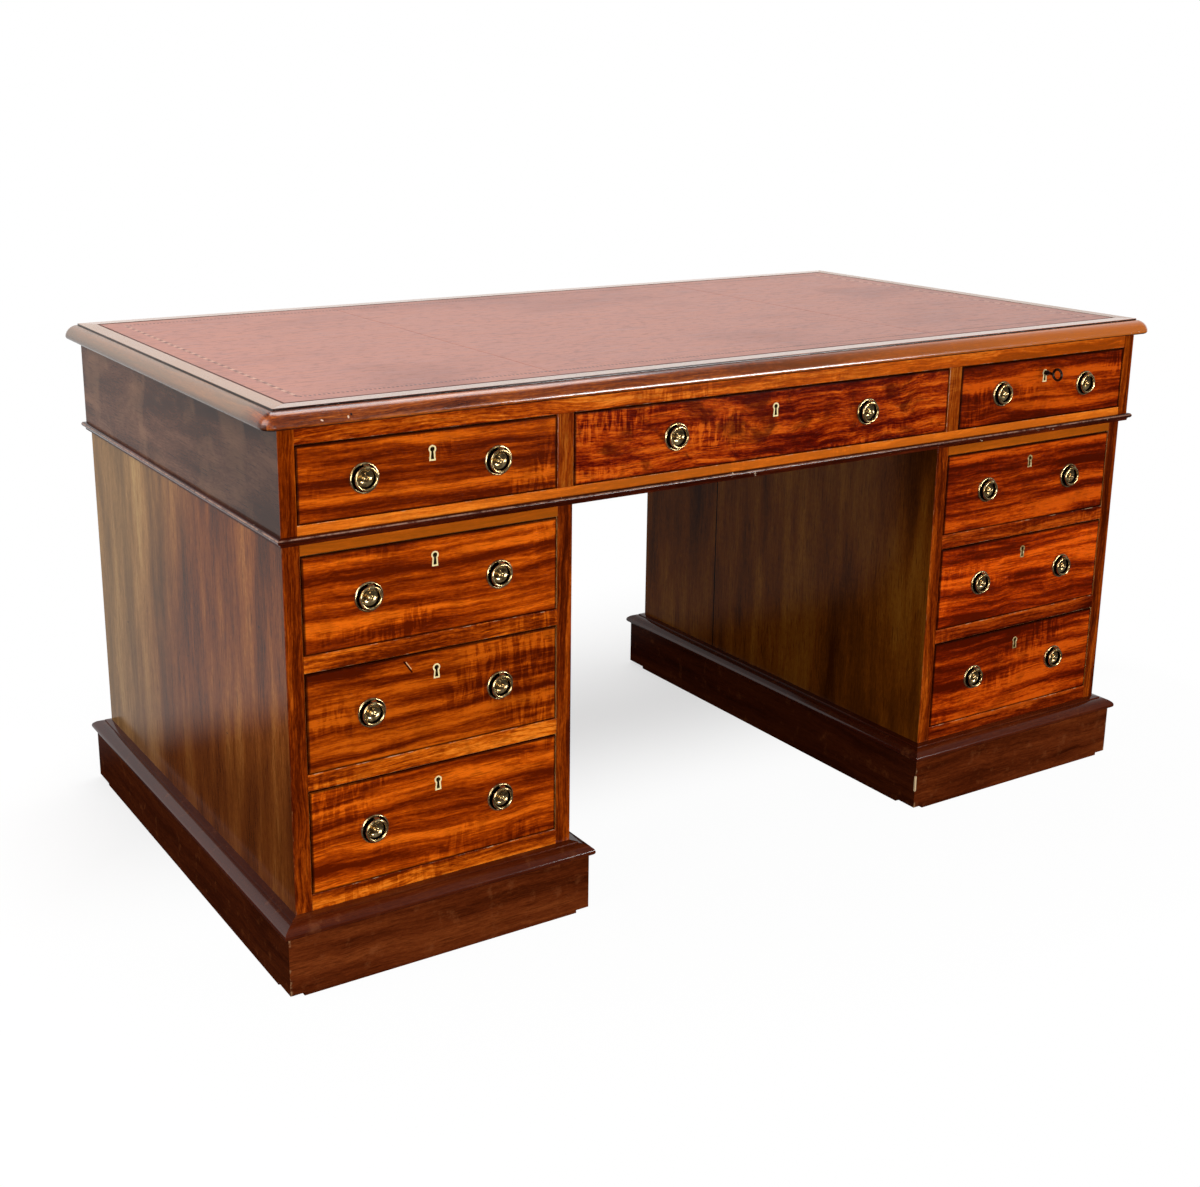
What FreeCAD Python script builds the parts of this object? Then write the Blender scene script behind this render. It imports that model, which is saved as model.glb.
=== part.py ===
import FreeCAD, Part
import math
import operator
import os
from types import SimpleNamespace

import Sketcher

# Driving dimensions in millimetres, by the piece that they belong to.
SIZES = {
    # Top: moulded frame, field board and leather
    "top_length": 1566,
    "top_depth": 836,
    "top_thickness": 24,
    "band_width": 23.5,
    "thumb_width": 19.5,
    "thumb_radius": 11,
    "quirk_drop": 2.5,
    "nose_radius": 4.5,
    "leather_thickness": 2,
    "hide_width": 690,
    # Upper case with the frieze drawers
    "top_end_overhang": 23,
    "top_front_overhang": 18,
    "case_side": 21.5,
    "case_back": 18,
    "frieze_top_rail": 22.5,
    "frieze_opening": 100,
    "frieze_bottom_rail": 24.5,
    "partition": 25.5,
    "centre_opening": 684,
    "back_rail_depth": 42,
    "bead_projection": 6.5,
    "bead_height": 12,
    "bead_cove": 4.5,
    "bead_fillet": 1,
    # Rails, runners, dust boards and stops of both cases
    "rail_depth": 70,
    "runner_width": 30,
    "dust_board": 8,
    "stop_width": 40,
    "stop_length": 25,
    "stop_height": 5,
    "stop_gap": 0.3,
    "arris": 1.2,
    # Pedestals
    "pedestal_width": 418.5,
    "pedestal_setback": 10,
    "pedestal_inset": 4.5,
    "pedestal_side": 23.5,
    "pedestal_back": 18,
    "pedestal_top": 17.4,
    "pedestal_bottom": 18,
    "bottom_rail": 42.5,
    "drawer_rail": 22.8,
    "lower_opening": 144.5,
    "middle_opening": 136.5,
    "upper_opening": 130.5,
    "rear_board_width": 225,
    "board_joint": 1,
    "peg_radius": 8,
    "peg_rise": 12,
    "peg_clearance": 0.15,
    # Plinths
    "shoe_height": 5,
    "shoe_width": 22,
    "shoe_inset": 1,
    "shoe_corner": 20,
    "plinth_height": 82,
    "plinth_board": 24,
    "plinth_projection": 20,
    "plinth_block": 40,
    "mould_height": 20,
    "mould_projection": 7,
    "mould_nose": 5,
    "mould_radius": 7,
    "mould_band": 9,
    "mould_quirk": 2,
    "mould_slope": 1.5,
    # Drawers
    "drawer_rear_space": 62,
    "drawer_side_gap": 1.5,
    "drawer_top_gap": 1.8,
    "drawer_seat_gap": 0.3,
    "front_thickness": 22,
    "front_lap": 6,
    "side_thickness": 10,
    "side_drop": 3,
    "back_thickness": 9,
    "back_drop": 4,
    "bottom_thickness": 7,
    "bottom_rise": 8,
    "groove_depth": 4,
    "groove_clearance": 0.2,
    # Ring handles
    "handle_spacing": 190,
    "wide_handle_spacing": 350,
    "plate_radius": 20.2,
    "plate_edge": 1.2,
    "rim_width": 3.4,
    "rim_height": 3,
    "channel_floor": 1,
    "dish_radius": 11.8,
    "dish_rim": 1.2,
    "dish_height": 3.8,
    "dish_floor": 1.6,
    "ring_radius": 14.2,
    "ring_wire": 1.8,
    "ring_standoff": 8,
    "eye_bore": 2.4,
    "eye_wall": 1.2,
    "eye_width": 6.4,
    "boss_radius": 4.6,
    "boss_neck": 3.4,
    "boss_height": 9.5,
    "boss_tip": 1.6,
    "bolt_radius": 2.5,
    "bolt_clearance": 0.2,
    "bolt_tail": 2,
    "nut_radius": 7,
    "nut_thickness": 4,
    # Locks, keyholes and key
    "key_drop": 23.7,
    "keyhole_head": 5.3,
    "keyhole_neck": 3.6,
    "keyhole_neck_drop": 3.9,
    "keyhole_foot": 4.5,
    "keyhole_foot_drop": 14.9,
    "escutcheon_wall": 2,
    "escutcheon_proud": 0.4,
    "escutcheon_clearance": 0.1,
    "lock_width": 60,
    "lock_height": 40,
    "lock_depth": 11,
    "lock_wall": 1.5,
    "bolt_width": 20,
    "bolt_thickness": 6,
    "bolt_height": 12,
    "bolt_throw": 8,
    "slot_clearance": 0.2,
    "mortise_clearance": 1.5,
    "key_stem": 15,
    "key_shank": 2.3,
    "bow_radius": 10.5,
    "bow_wire": 2,
    "collar_radius": 4.3,
    "collar_width": 3,
    "collar_stand": 3,
    "bit_reach": 9,
    "bit_length": 5,
    "bit_thickness": 2.4,
    "bit_clearance": 1,
    # Reach of a cut beyond the face that it breaks through
    "overrun": 2,
}

TAIL_COUNT = 3
TAIL_ROOT_SHARE = 0.5
TAIL_TIP_SHARE = 0.68
NUT_SIDES = 6
TOLERANCE = 1e-6

OPERATIONS = {"+": operator.add, "-": operator.sub, "*": operator.mul, "/": operator.truediv}

ALONG_Y = FreeCAD.Rotation(FreeCAD.Vector(1, 0, 0), -90)
ALONG_X = FreeCAD.Rotation(FreeCAD.Vector(0, 1, 0), 90)
FACING_FRONT = FreeCAD.Rotation(FreeCAD.Vector(0, 0, 1), 180)


class Size:
    """A length worked out from cells of the sheet: its expression and its present value."""

    def __init__(self, text, value):
        self.text = text
        self.value = value

    def __add__(self, other):
        return combine(self, "+", other)

    def __radd__(self, other):
        return combine(other, "+", self)

    def __sub__(self, other):
        return combine(self, "-", other)

    def __rsub__(self, other):
        return combine(other, "-", self)

    def __mul__(self, other):
        return combine(self, "*", other)

    def __rmul__(self, other):
        return combine(other, "*", self)

    def __truediv__(self, other):
        return combine(self, "/", other)

    def __neg__(self):
        return combine(0, "-", self)


def as_size(amount):
    """A size, also for a plain number."""
    return amount if isinstance(amount, Size) else Size(str(amount), amount)


def combine(left, sign, right):
    """The size that an arithmetic sign makes of two sizes."""
    left = as_size(left)
    right = as_size(right)
    value = OPERATIONS[sign](left.value, right.value)
    return Size(f"({left.text} {sign} {right.text})", value)


doc = FreeCAD.newDocument("pedestal_desk")
sheet = doc.addObject("Spreadsheet::Sheet", "dims")
for row, (alias, number) in enumerate(SIZES.items(), start=1):
    sheet.set(f"A{row}", alias)
    sheet.set(f"B{row}", str(number))
    sheet.setAlias(f"B{row}", alias)
doc.recompute()
dims = SimpleNamespace(**{alias: Size(f"dims.{alias}", number) for alias, number in SIZES.items()})

nodes = []


# Basic operations

def bind(thing, **amounts):
    """Tie properties of an object to sizes."""
    for name, amount in amounts.items():
        thing.setExpression(name, as_size(amount).text)
    return thing


def place(thing, x, y, z, turn=None):
    """Put an object at a point given in sizes, turned or not."""
    if turn:
        thing.Placement = FreeCAD.Placement(FreeCAD.Vector(), turn)
    for axis, amount in zip("xyz", (x, y, z)):
        thing.setExpression(f"Placement.Base.{axis}", as_size(amount).text)
    return thing


def board(name, low, extent):
    """A plain rectangular board from its lowest corner."""
    block = doc.addObject("Part::Box", name)
    length, width, height = extent
    bind(block, Length=length, Width=width, Height=height)
    return place(block, *low)


def front_edges(shape, along):
    """Names of the edges of a block's front face that run along the given axes."""
    names = []
    for number, edge in enumerate(shape.Edges, start=1):
        reach = edge.BoundBox
        on_front = all(abs(corner.Y - shape.BoundBox.YMin) < TOLERANCE for corner in edge.Vertexes)
        if on_front and ("x" if reach.XLength > reach.ZLength else "z") in along:
            names.append(f"Edge{number}")
    return names


def eased_board(name, low, extent, along):
    """A board whose front edges along the given axes are rounded."""
    body = doc.addObject("PartDesign::Body", name)
    block = body.newObject("PartDesign::AdditiveBox", f"{name}_block")
    length, width, height = extent
    bind(block, Length=length, Width=width, Height=height)
    doc.recompute()
    rounding = body.newObject("PartDesign::Fillet", f"{name}_arris")
    rounding.Base = (block, front_edges(block.Shape, along))
    bind(rounding, Radius=dims.arris)
    return place(body, *low)


def rod(name, radius, length, x, y, z, turn=None):
    """A round rod from the centre of its near end."""
    cylinder = doc.addObject("Part::Cylinder", name)
    bind(cylinder, Radius=radius, Height=length)
    return place(cylinder, x, y, z, turn)


def ring(name, radius, wire, x, y, z, turn):
    """A ring of round wire about its centre."""
    torus = doc.addObject("Part::Torus", name)
    bind(torus, Radius1=radius, Radius2=wire)
    return place(torus, x, y, z, turn)


def copy_of(master, name, x, y, z, turn=None):
    """A further copy of a piece at another place."""
    link = doc.addObject("App::Link", name)
    link.LinkedObject = master
    return place(link, x, y, z, turn)


def fuse(name, pieces):
    """Several solids joined into one."""
    joined = doc.addObject("Part::MultiFuse", name)
    joined.Shapes = pieces
    joined.Refine = True
    return joined


def cut(name, base, tools):
    """A solid with other solids taken out of it."""
    result = doc.addObject("Part::Cut", name)
    result.Base = base
    result.Tool = fuse(f"{name}_tools", tools) if len(tools) > 1 else tools[0]
    return result


def node(label, pieces):
    """A sub-part of the desk, made of one or more separate solids."""
    part = doc.addObject("Part::Compound", label)
    part.Links = pieces
    part.Label = label
    nodes.append(part)
    return part


def mirrored(low, width, side):
    """Lowest x of a piece on the right side, or of its mirror image on the left."""
    return low if side > 0 else -(low + width)


# Outlines and the solids made from them

def arc_centre(first, last, rule):
    """Centre of an arc that is level or plumb with its start or its end."""
    anchor = first if rule.endswith("start") else last
    across, up = (0, 1) if rule.startswith("level") else (1, 0)
    fixed = anchor[up]
    offsets = (last[up] - fixed) ** 2 - (first[up] - fixed) ** 2
    found = (last[across] ** 2 - first[across] ** 2 + offsets) / (2 * (last[across] - first[across]))
    return (found, fixed) if rule.startswith("level") else (fixed, found)


def arc_between(first, last, centre):
    """The shorter arc about a centre, and whether it runs from first to last."""
    angles = [math.atan2(point[1] - centre[1], point[0] - centre[0]) for point in (first, last)]
    forward = (angles[1] - angles[0]) % (2 * math.pi) <= math.pi
    circle = Part.Circle(FreeCAD.Vector(*centre, 0), FreeCAD.Vector(0, 0, 1), math.dist(centre, first))
    start, end = angles if forward else reversed(angles)
    return Part.ArcOfCircle(circle, start, end), forward


def thumb_join(nose, quirk, radius):
    """Where the small arc of a thumb moulding's nose runs into its wide upper arc."""
    across = nose[0] - quirk[0]
    up = quirk[1] - nose[1]
    wide = ((across - radius) ** 2 + up ** 2 - radius ** 2) / (2 * (up - radius))
    small_centre = (nose[0] - radius, nose[1])
    wide_centre = (quirk[0], quirk[1] - wide)
    stretch = wide / (wide - radius)
    return tuple(w + (s - w) * stretch for s, w in zip(small_centre, wide_centre))


class Outline:
    """A closed outline in a body's plane, with every corner tied to sizes."""

    def __init__(self, body, plane, start):
        self.sketch = body.newObject("Sketcher::SketchObject", f"{body.Name}_outline")
        origin_plane = next(item for item in body.Origin.OriginFeatures if item.Role == plane)
        self.sketch.AttachmentSupport = [(origin_plane, "")]
        self.sketch.MapMode = "FlatFace"
        self.start = start
        self.place_now = self.value(start)
        self.ends = []
        self.constraints = []
        self.formulas = {}

    @staticmethod
    def value(point):
        """The present place of a corner."""
        return tuple(as_size(amount).value for amount in point)

    def require(self, kind, *terms, amount=None):
        """Add a constraint, tied to a size where it has one."""
        if amount is None:
            self.constraints.append(Sketcher.Constraint(kind, *terms))
            return
        self.formulas[len(self.constraints)] = as_size(amount).text
        self.constraints.append(Sketcher.Constraint(kind, *terms, as_size(amount).value))

    def fix(self, geometry, end, point):
        """Tie a corner to its two sizes from the origin."""
        for kind, axis, amount in zip(("DistanceX", "DistanceY"), (-2, -1), point):
            if as_size(amount).text == "0":
                self.require("PointOnObject", geometry, end, axis)
            else:
                self.require(kind, -1, 1, geometry, end, amount=amount)

    def add(self, curve, forward, target):
        """Append a stretch that ends at a place, and join it to the stretch before."""
        geometry = self.sketch.addGeometry(curve)
        near, far = (1, 2) if forward else (2, 1)
        if self.ends:
            self.require("Coincident", *self.ends[-1][1], geometry, near)
        self.ends.append(((geometry, near), (geometry, far)))
        self.place_now = target
        return geometry, near, far

    def line(self, *point):
        """A straight stretch to a corner."""
        target = self.value(point)
        edge = Part.LineSegment(FreeCAD.Vector(*self.place_now, 0), FreeCAD.Vector(*target, 0))
        geometry, near, far = self.add(edge, True, target)
        self.fix(geometry, far, point)
        return self

    def arc(self, *point, rule):
        """A round stretch to a corner, with its centre level or plumb with its start or end."""
        target = self.value(point)
        centre = arc_centre(self.place_now, target, rule)
        curve, forward = arc_between(self.place_now, target, centre)
        geometry, near, far = self.add(curve, forward, target)
        self.fix(geometry, far, point)
        anchor = near if rule.endswith("start") else far
        direction = "Horizontal" if rule.startswith("level") else "Vertical"
        self.require(direction, geometry, 3, geometry, anchor)
        return self

    def thumb(self, *point, radius):
        """A thumb moulding to its quirk: a small arc at the nose, then a wide one, with no corner."""
        nose = self.place_now
        target = self.value(point)
        middle = thumb_join(nose, target, radius.value)
        small, small_forward = arc_between(nose, middle, (nose[0] - radius.value, nose[1]))
        geometry, near, far = self.add(small, small_forward, middle)
        self.require("Horizontal", geometry, 3, geometry, near)
        self.require("Radius", geometry, amount=radius)
        wide_centre = arc_centre(middle, target, "plumb_end")
        wide, wide_forward = arc_between(middle, target, wide_centre)
        other = self.sketch.addGeometry(wide)
        other_near, other_far = (1, 2) if wide_forward else (2, 1)
        self.require("Tangent", geometry, far, other, other_near)
        self.ends.append(((other, other_near), (other, other_far)))
        self.place_now = target
        self.fix(other, other_far, point)
        self.require("Vertical", other, 3, other, other_far)
        return self

    def close(self):
        """A last straight stretch back to the start, and the finished sketch."""
        self.line(*self.start)
        self.require("Coincident", *self.ends[-1][1], *self.ends[0][0])
        self.sketch.addConstraint(self.constraints)
        for number, formula in self.formulas.items():
            self.sketch.setExpression(f"Constraints[{number}]", formula)
        return self.sketch


def new_body(name):
    """An empty body."""
    return doc.addObject("PartDesign::Body", name)


def pad(body, sketch, length, way="Symmetric", backwards=False):
    """A sketch drawn out to a length."""
    feature = body.newObject("PartDesign::Pad", f"{sketch.Name}_pad")
    feature.Profile = sketch
    feature.SideType = way
    feature.Reversed = backwards
    bind(feature, Length=length)
    return feature


def turned(body, sketch, angle=360, backwards=False):
    """A sketch turned round its vertical axis, once unless an angle is given."""
    feature = body.newObject("PartDesign::Revolution", f"{sketch.Name}_turning")
    feature.Profile = sketch
    feature.ReferenceAxis = (sketch, ["V_Axis"])
    feature.Angle = angle
    feature.Reversed = backwards
    return feature


def frame_sides(half_length, half_depth):
    """Name, turn, half length and middle of the four members of a rectangular frame."""
    return (
        ("back", 0, half_length, (0, half_depth)),
        ("left", 90, half_depth, (-half_length, 0)),
        ("front", 180, half_length, (0, -half_depth)),
        ("right", 270, half_depth, (half_length, 0)),
    )


def straight_stock(name, half, section, width):
    """Stock of one section, long enough for its mitres."""
    body = new_body(name)
    pad(body, section(body), 2 * (half + width))
    return body


def mitred_frame(name, centre, low, half_length, half_depth, section, width, height, stock=straight_stock):
    """Four members of one section round a rectangle, mitred where they meet."""
    members = []
    for side, angle, half, (x, y) in frame_sides(half_length, half_depth):
        turn = FreeCAD.Rotation(FreeCAD.Vector(0, 0, 1), angle)
        body = stock(f"{name}_{side}_stock", half, section, width)
        place(body, centre + x, y, low, turn)
        mitre = doc.addObject("Part::Wedge", f"{name}_{side}_mitre")
        bind(mitre, Xmin=-half, Xmax=half, X2min=-(half + width), X2max=half + width)
        bind(mitre, Ymin=0, Ymax=width, Zmin=0, Zmax=height, Z2min=0, Z2max=height)
        place(mitre, centre + x, y, low, turn)
        member = doc.addObject("Part::Common", f"{name}_{side}")
        member.Base = body
        member.Tool = mitre
        members.append(member)
    return members


# Levels and places that several pieces share

plinth_low = dims.shoe_height
plinth_high = plinth_low + dims.plinth_height
lower_low = plinth_high + dims.bottom_rail
lower_high = lower_low + dims.lower_opening
middle_low = lower_high + dims.drawer_rail
middle_high = middle_low + dims.middle_opening
upper_low = middle_high + dims.drawer_rail
upper_high = upper_low + dims.upper_opening
case_low = upper_high + dims.pedestal_top
frieze_low = case_low + dims.frieze_bottom_rail
frieze_high = frieze_low + dims.frieze_opening
case_high = frieze_high + dims.frieze_top_rail
top_high = case_high + dims.top_thickness

case_length = dims.top_length - 2 * dims.top_end_overhang
case_depth = dims.top_depth - 2 * dims.top_front_overhang
case_end = case_length / 2
case_front = -case_depth / 2
case_inside = case_end - dims.case_side
case_rear_inside = case_depth / 2 - dims.case_back
case_rail_back = case_front + dims.rail_depth
partition_in = dims.centre_opening / 2
partition_out = partition_in + dims.partition

pedestal_depth = case_depth - 2 * dims.pedestal_setback
pedestal_outer = case_end - dims.pedestal_inset
pedestal_centre = pedestal_outer - dims.pedestal_width / 2
pedestal_front = -pedestal_depth / 2
pedestal_inside = dims.pedestal_width / 2 - dims.pedestal_side
pedestal_opening = 2 * pedestal_inside
pedestal_rear_inside = pedestal_depth / 2 - dims.pedestal_back
pedestal_rail_back = pedestal_front + dims.rail_depth
pedestal_depth_behind_rail = pedestal_rear_inside - pedestal_rail_back

frieze_side_opening = case_inside - partition_out
frieze_side_centre = (case_inside + partition_out) / 2
drawer_length = pedestal_depth - dims.pedestal_back - dims.drawer_rear_space
peg_front = case_rail_back - 2 * dims.peg_radius
peg_back = pedestal_rear_inside - 2 * dims.peg_radius

mortise_y = dims.front_thickness - dims.lock_depth / 2


# Top

def thumb_edge(body):
    """Section of the top's thumb moulding, from its quirk out to the nose."""
    section = Outline(body, "YZ_Plane", (0, 0))
    section.line(dims.thumb_width - dims.nose_radius, 0)
    section.arc(dims.thumb_width, dims.nose_radius, rule="level_end")
    section.thumb(0, dims.top_thickness - dims.quirk_drop, radius=dims.thumb_radius)
    return section.close()


def top_stock(name, half, section, width):
    """Stock of the top's frame: a flat band and a thumb moulding that is turned round both corners."""
    corner = half + dims.band_width
    band = board(f"{name}_band", (-half - width, 0, 0),
                 (2 * (half + width), dims.band_width, dims.top_thickness))
    thumb = new_body(f"{name}_thumb")
    pad(thumb, section(thumb), 2 * corner)
    pieces = [band, place(thumb, 0, dims.band_width, 0)]
    for word, side in (("left", -1), ("right", 1)):
        end = new_body(f"{name}_{word}_turn")
        turned(end, section(end), angle=90, backwards=side > 0)
        pieces.append(place(end, side * corner, dims.band_width, 0))
    return fuse(name, pieces)


def top():
    """The moulded frame, the board inside it and the three hides laid on the board."""
    width = dims.band_width + dims.thumb_width
    half_length = dims.top_length / 2 - width
    half_depth = dims.top_depth / 2 - width
    members = mitred_frame("top_frame_member", 0, case_high, half_length, half_depth, thumb_edge, width,
                           dims.top_thickness, top_stock)
    node("top_frame", members)
    field_thickness = dims.top_thickness - dims.leather_thickness
    field = board("field", (-half_length, -half_depth, case_high),
                  (2 * half_length, 2 * half_depth, field_thickness))
    node("top_field_board", [field])
    hide_low = case_high + field_thickness
    seam = dims.hide_width / 2
    starts = (-half_length, -seam, seam)
    widths = (half_length - seam, dims.hide_width, half_length - seam)
    hides = [board(f"hide_{name}", (start, -half_depth, hide_low),
                   (width, 2 * half_depth, dims.leather_thickness))
             for name, start, width in zip(("left", "centre", "right"), starts, widths)]
    node("leather_writing_surface", hides)


# Lock bolt's mortise and locating peg's hole

def bolt_mortise(name, centre, front, low):
    """The mortise above a drawer that its lock bolt rises into."""
    width = dims.bolt_width + 2 * dims.mortise_clearance
    depth = dims.bolt_thickness + 2 * dims.mortise_clearance
    corner = (centre - width / 2, front + mortise_y - depth / 2, low - dims.overrun)
    return board(name, corner, (width, depth, dims.bolt_throw + dims.overrun))


def peg_hole(name, centre, y, low, depth):
    """A hole for a locating peg."""
    return rod(name, dims.peg_radius + dims.peg_clearance, depth, centre, y, low)


# Upper case

def upper_case_panels():
    """The two ends and the back of the upper case."""
    height = case_high - case_low
    ends = [board(f"case_end_{name}", (mirrored(case_inside, dims.case_side, side), case_front, case_low),
                  (dims.case_side, case_depth, height))
            for name, side in (("left", -1), ("right", 1))]
    back = board("case_back_panel", (-case_inside, case_rear_inside, case_low),
                 (2 * case_inside, dims.case_back, height))
    node("upper_case_panels", ends + [back])


def upper_case_front_frame():
    """The rails above and below the frieze drawers, and the partitions between the drawers."""
    length = 2 * case_inside
    top_rail = eased_board("frieze_top_rail", (-case_inside, case_front, frieze_high),
                           (length, dims.rail_depth, dims.frieze_top_rail), "x")
    mortises = [bolt_mortise(f"frieze_mortise_{name}", centre, case_front, frieze_high)
                for name, centre, opening in frieze_bays()]
    bottom_rail = eased_board("frieze_bottom_rail", (-case_inside, case_front, case_low),
                              (length, dims.rail_depth, dims.frieze_bottom_rail), "x")
    holes = [peg_hole(f"frieze_peg_hole_{name}", side * pedestal_centre, peg_front,
                      case_low - dims.overrun, dims.overrun + dims.peg_rise + dims.peg_clearance)
             for name, side in (("left", -1), ("right", 1))]
    partitions = [eased_board(f"partition_{name}", (mirrored(partition_in, dims.partition, side),
                                                    case_front, frieze_low),
                              (dims.partition, case_depth - dims.case_back, dims.frieze_opening), "z")
                  for name, side in (("left", -1), ("right", 1))]
    node("upper_case_front_frame", [cut("top_rail", top_rail, mortises),
                                    cut("bottom_rail", bottom_rail, holes)] + partitions)


def frieze_bearers(name, low, height, length):
    """Four bearers along the ends and under or over the partitions of the upper case."""
    bearers = []
    wide = dims.partition + 2 * dims.runner_width
    for word, side in (("left", -1), ("right", 1)):
        outer = mirrored(case_inside - dims.runner_width, dims.runner_width, side)
        inner = mirrored(partition_in - dims.runner_width, wide, side)
        bearers.append(board(f"{name}_outer_{word}", (outer, case_rail_back, low),
                             (dims.runner_width, length, height)))
        bearers.append(board(f"{name}_inner_{word}", (inner, case_rail_back, low), (wide, length, height)))
    return bearers


def drawer_stops(name, centre, front, low, opening):
    """Two blocks on the rail that the back of a drawer front meets."""
    y = front + dims.front_thickness + dims.stop_gap
    return [board(f"{name}_{word}", (centre + side * opening / 4 - dims.stop_width / 2, y, low),
                  (dims.stop_width, dims.stop_length, dims.stop_height))
            for word, side in (("left", -1), ("right", 1))]


def upper_case_runners():
    """Runners, kickers, back rail, dust boards and stops of the frieze drawers."""
    rail_front = case_rear_inside - dims.back_rail_depth
    length = rail_front - case_rail_back
    runners = frieze_bearers("frieze_runner", case_low, dims.frieze_bottom_rail, length)
    kickers = frieze_bearers("frieze_kicker", frieze_high, dims.frieze_top_rail,
                             case_rear_inside - case_rail_back)
    back_rail = board("frieze_back_rail", (-case_inside, rail_front, case_low),
                      (2 * case_inside, dims.back_rail_depth, dims.frieze_bottom_rail))
    holes = [peg_hole(f"back_peg_hole_{name}", side * pedestal_centre, peg_back,
                      case_low - dims.overrun, dims.overrun + dims.peg_rise + dims.peg_clearance)
             for name, side in (("left", -1), ("right", 1))]
    side_low = partition_out + dims.runner_width
    side_width = case_inside - dims.runner_width - side_low
    centre_width = dims.centre_opening - 2 * dims.runner_width
    dust_low = case_low + (dims.frieze_bottom_rail - dims.dust_board) / 2
    bays = ((-side_low - side_width, side_width), (-centre_width / 2, centre_width), (side_low, side_width))
    dust_boards = [board(f"frieze_dust_board_{number}", (low, case_rail_back, dust_low),
                         (width, length, dims.dust_board)) for number, (low, width) in enumerate(bays)]
    stops = []
    for name, centre, opening in frieze_bays():
        stops += drawer_stops(f"{name}_stop", centre, case_front, frieze_low, opening)
    node("upper_case_runners", runners + kickers + [cut("frieze_rear_rail", back_rail, holes)]
         + dust_boards + stops)


def bead_edge(body):
    """Section of the bead at the foot of the upper case: a cove under a round nose."""
    nose = (dims.bead_height - dims.bead_cove) / 2
    neck = dims.bead_projection - nose
    section = Outline(body, "YZ_Plane", (0, 0))
    section.line(dims.bead_fillet, 0)
    section.arc(neck, dims.bead_cove, rule="level_start")
    section.arc(dims.bead_projection, dims.bead_cove + nose, rule="level_end")
    section.arc(neck, dims.bead_height, rule="level_start")
    section.line(0, dims.bead_height)
    return section.close()


def upper_case_bead():
    """The bead round the foot of the upper case."""
    members = mitred_frame("bead_member", 0, case_low, case_end, case_depth / 2, bead_edge,
                           dims.bead_projection, dims.bead_height)
    node("upper_case_bead", members)


# Pedestals

def pedestal_case(word, side):
    """Sides, back, top and bottom of a pedestal, with its locating pegs."""
    height = case_low - plinth_high
    centre = side * pedestal_centre
    inner_low = pedestal_outer - dims.pedestal_width
    outer_low = pedestal_outer - dims.pedestal_side
    front_width = pedestal_depth - dims.rear_board_width - dims.board_joint
    inner_x = mirrored(inner_low, dims.pedestal_side, side)
    rear_y = pedestal_depth / 2 - dims.rear_board_width
    outer_x = mirrored(outer_low, dims.pedestal_side, side)
    outer = eased_board(f"{word}_outer_side", (outer_x, pedestal_front, plinth_high),
                        (dims.pedestal_side, pedestal_depth, height), "z")
    inner = eased_board(f"{word}_inner_side", (inner_x, pedestal_front, plinth_high),
                        (dims.pedestal_side, front_width, height), "z")
    rear = board(f"{word}_inner_side_rear", (inner_x, rear_y, plinth_high),
                 (dims.pedestal_side, dims.rear_board_width, height))
    left = centre - pedestal_inside
    back = board(f"{word}_back", (left, pedestal_rear_inside, plinth_high),
                 (pedestal_opening, dims.pedestal_back, height))
    top_board = eased_board(f"{word}_top_board", (left, pedestal_front, upper_high),
                            (pedestal_opening, pedestal_rear_inside - pedestal_front, dims.pedestal_top), "x")
    holes = [bolt_mortise(f"{word}_top_mortise", centre, pedestal_front, upper_high)]
    pegs = []
    for name, y in (("front", peg_front), ("back", peg_back)):
        holes.append(peg_hole(f"{word}_{name}_hole", centre, y, upper_high - dims.overrun,
                              dims.pedestal_top + 2 * dims.overrun))
        pegs.append(rod(f"{word}_{name}_peg", dims.peg_radius, dims.pedestal_top + dims.peg_rise,
                        centre, y, upper_high))
    bottom = board(f"{word}_bottom", (left, pedestal_rail_back, lower_low - dims.pedestal_bottom),
                   (pedestal_opening, pedestal_depth_behind_rail, dims.pedestal_bottom))
    pieces = [outer, inner, rear, back, cut(f"{word}_pierced_top", top_board, holes), bottom]
    node(f"{word}_pedestal_case", pieces + pegs)


def pedestal_rail(word, name, side, low, height, mortised):
    """A rail across the front of a pedestal, with a mortise where a drawer below locks into it."""
    centre = side * pedestal_centre
    rail = eased_board(f"{word}_{name}_rail", (centre - pedestal_inside, pedestal_front, low),
                       (pedestal_opening, dims.rail_depth, height), "x")
    if not mortised:
        return rail
    mortise = bolt_mortise(f"{word}_{name}_mortise", centre, pedestal_front, low)
    return cut(f"{word}_{name}_mortised", rail, [mortise])


def pedestal_drawer_frame(word, side):
    """Rails, runners, dust boards and stops of a pedestal's drawers."""
    centre = side * pedestal_centre
    left = centre - pedestal_inside
    pieces = [pedestal_rail(word, "bottom", side, plinth_high, dims.bottom_rail, False)]
    dust_width = pedestal_opening - 2 * dims.runner_width
    for name, low in (("lower", lower_high), ("upper", middle_high)):
        pieces.append(pedestal_rail(word, name, side, low, dims.drawer_rail, True))
        for hand, x in (("left", left), ("right", left + dust_width + dims.runner_width)):
            pieces.append(board(f"{word}_{name}_runner_{hand}", (x, pedestal_rail_back, low),
                                (dims.runner_width, pedestal_depth_behind_rail, dims.drawer_rail)))
        dust_low = low + (dims.drawer_rail - dims.dust_board) / 2
        pieces.append(board(f"{word}_{name}_dust_board",
                            (left + dims.runner_width, pedestal_rail_back, dust_low),
                            (dust_width, pedestal_depth_behind_rail, dims.dust_board)))
    for name, low in (("lower", lower_low), ("middle", middle_low), ("upper", upper_low)):
        pieces += drawer_stops(f"{word}_{name}_stop", centre, pedestal_front, low, pedestal_opening)
    node(f"{word}_pedestal_drawer_frame", pieces)


# Plinths

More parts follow.
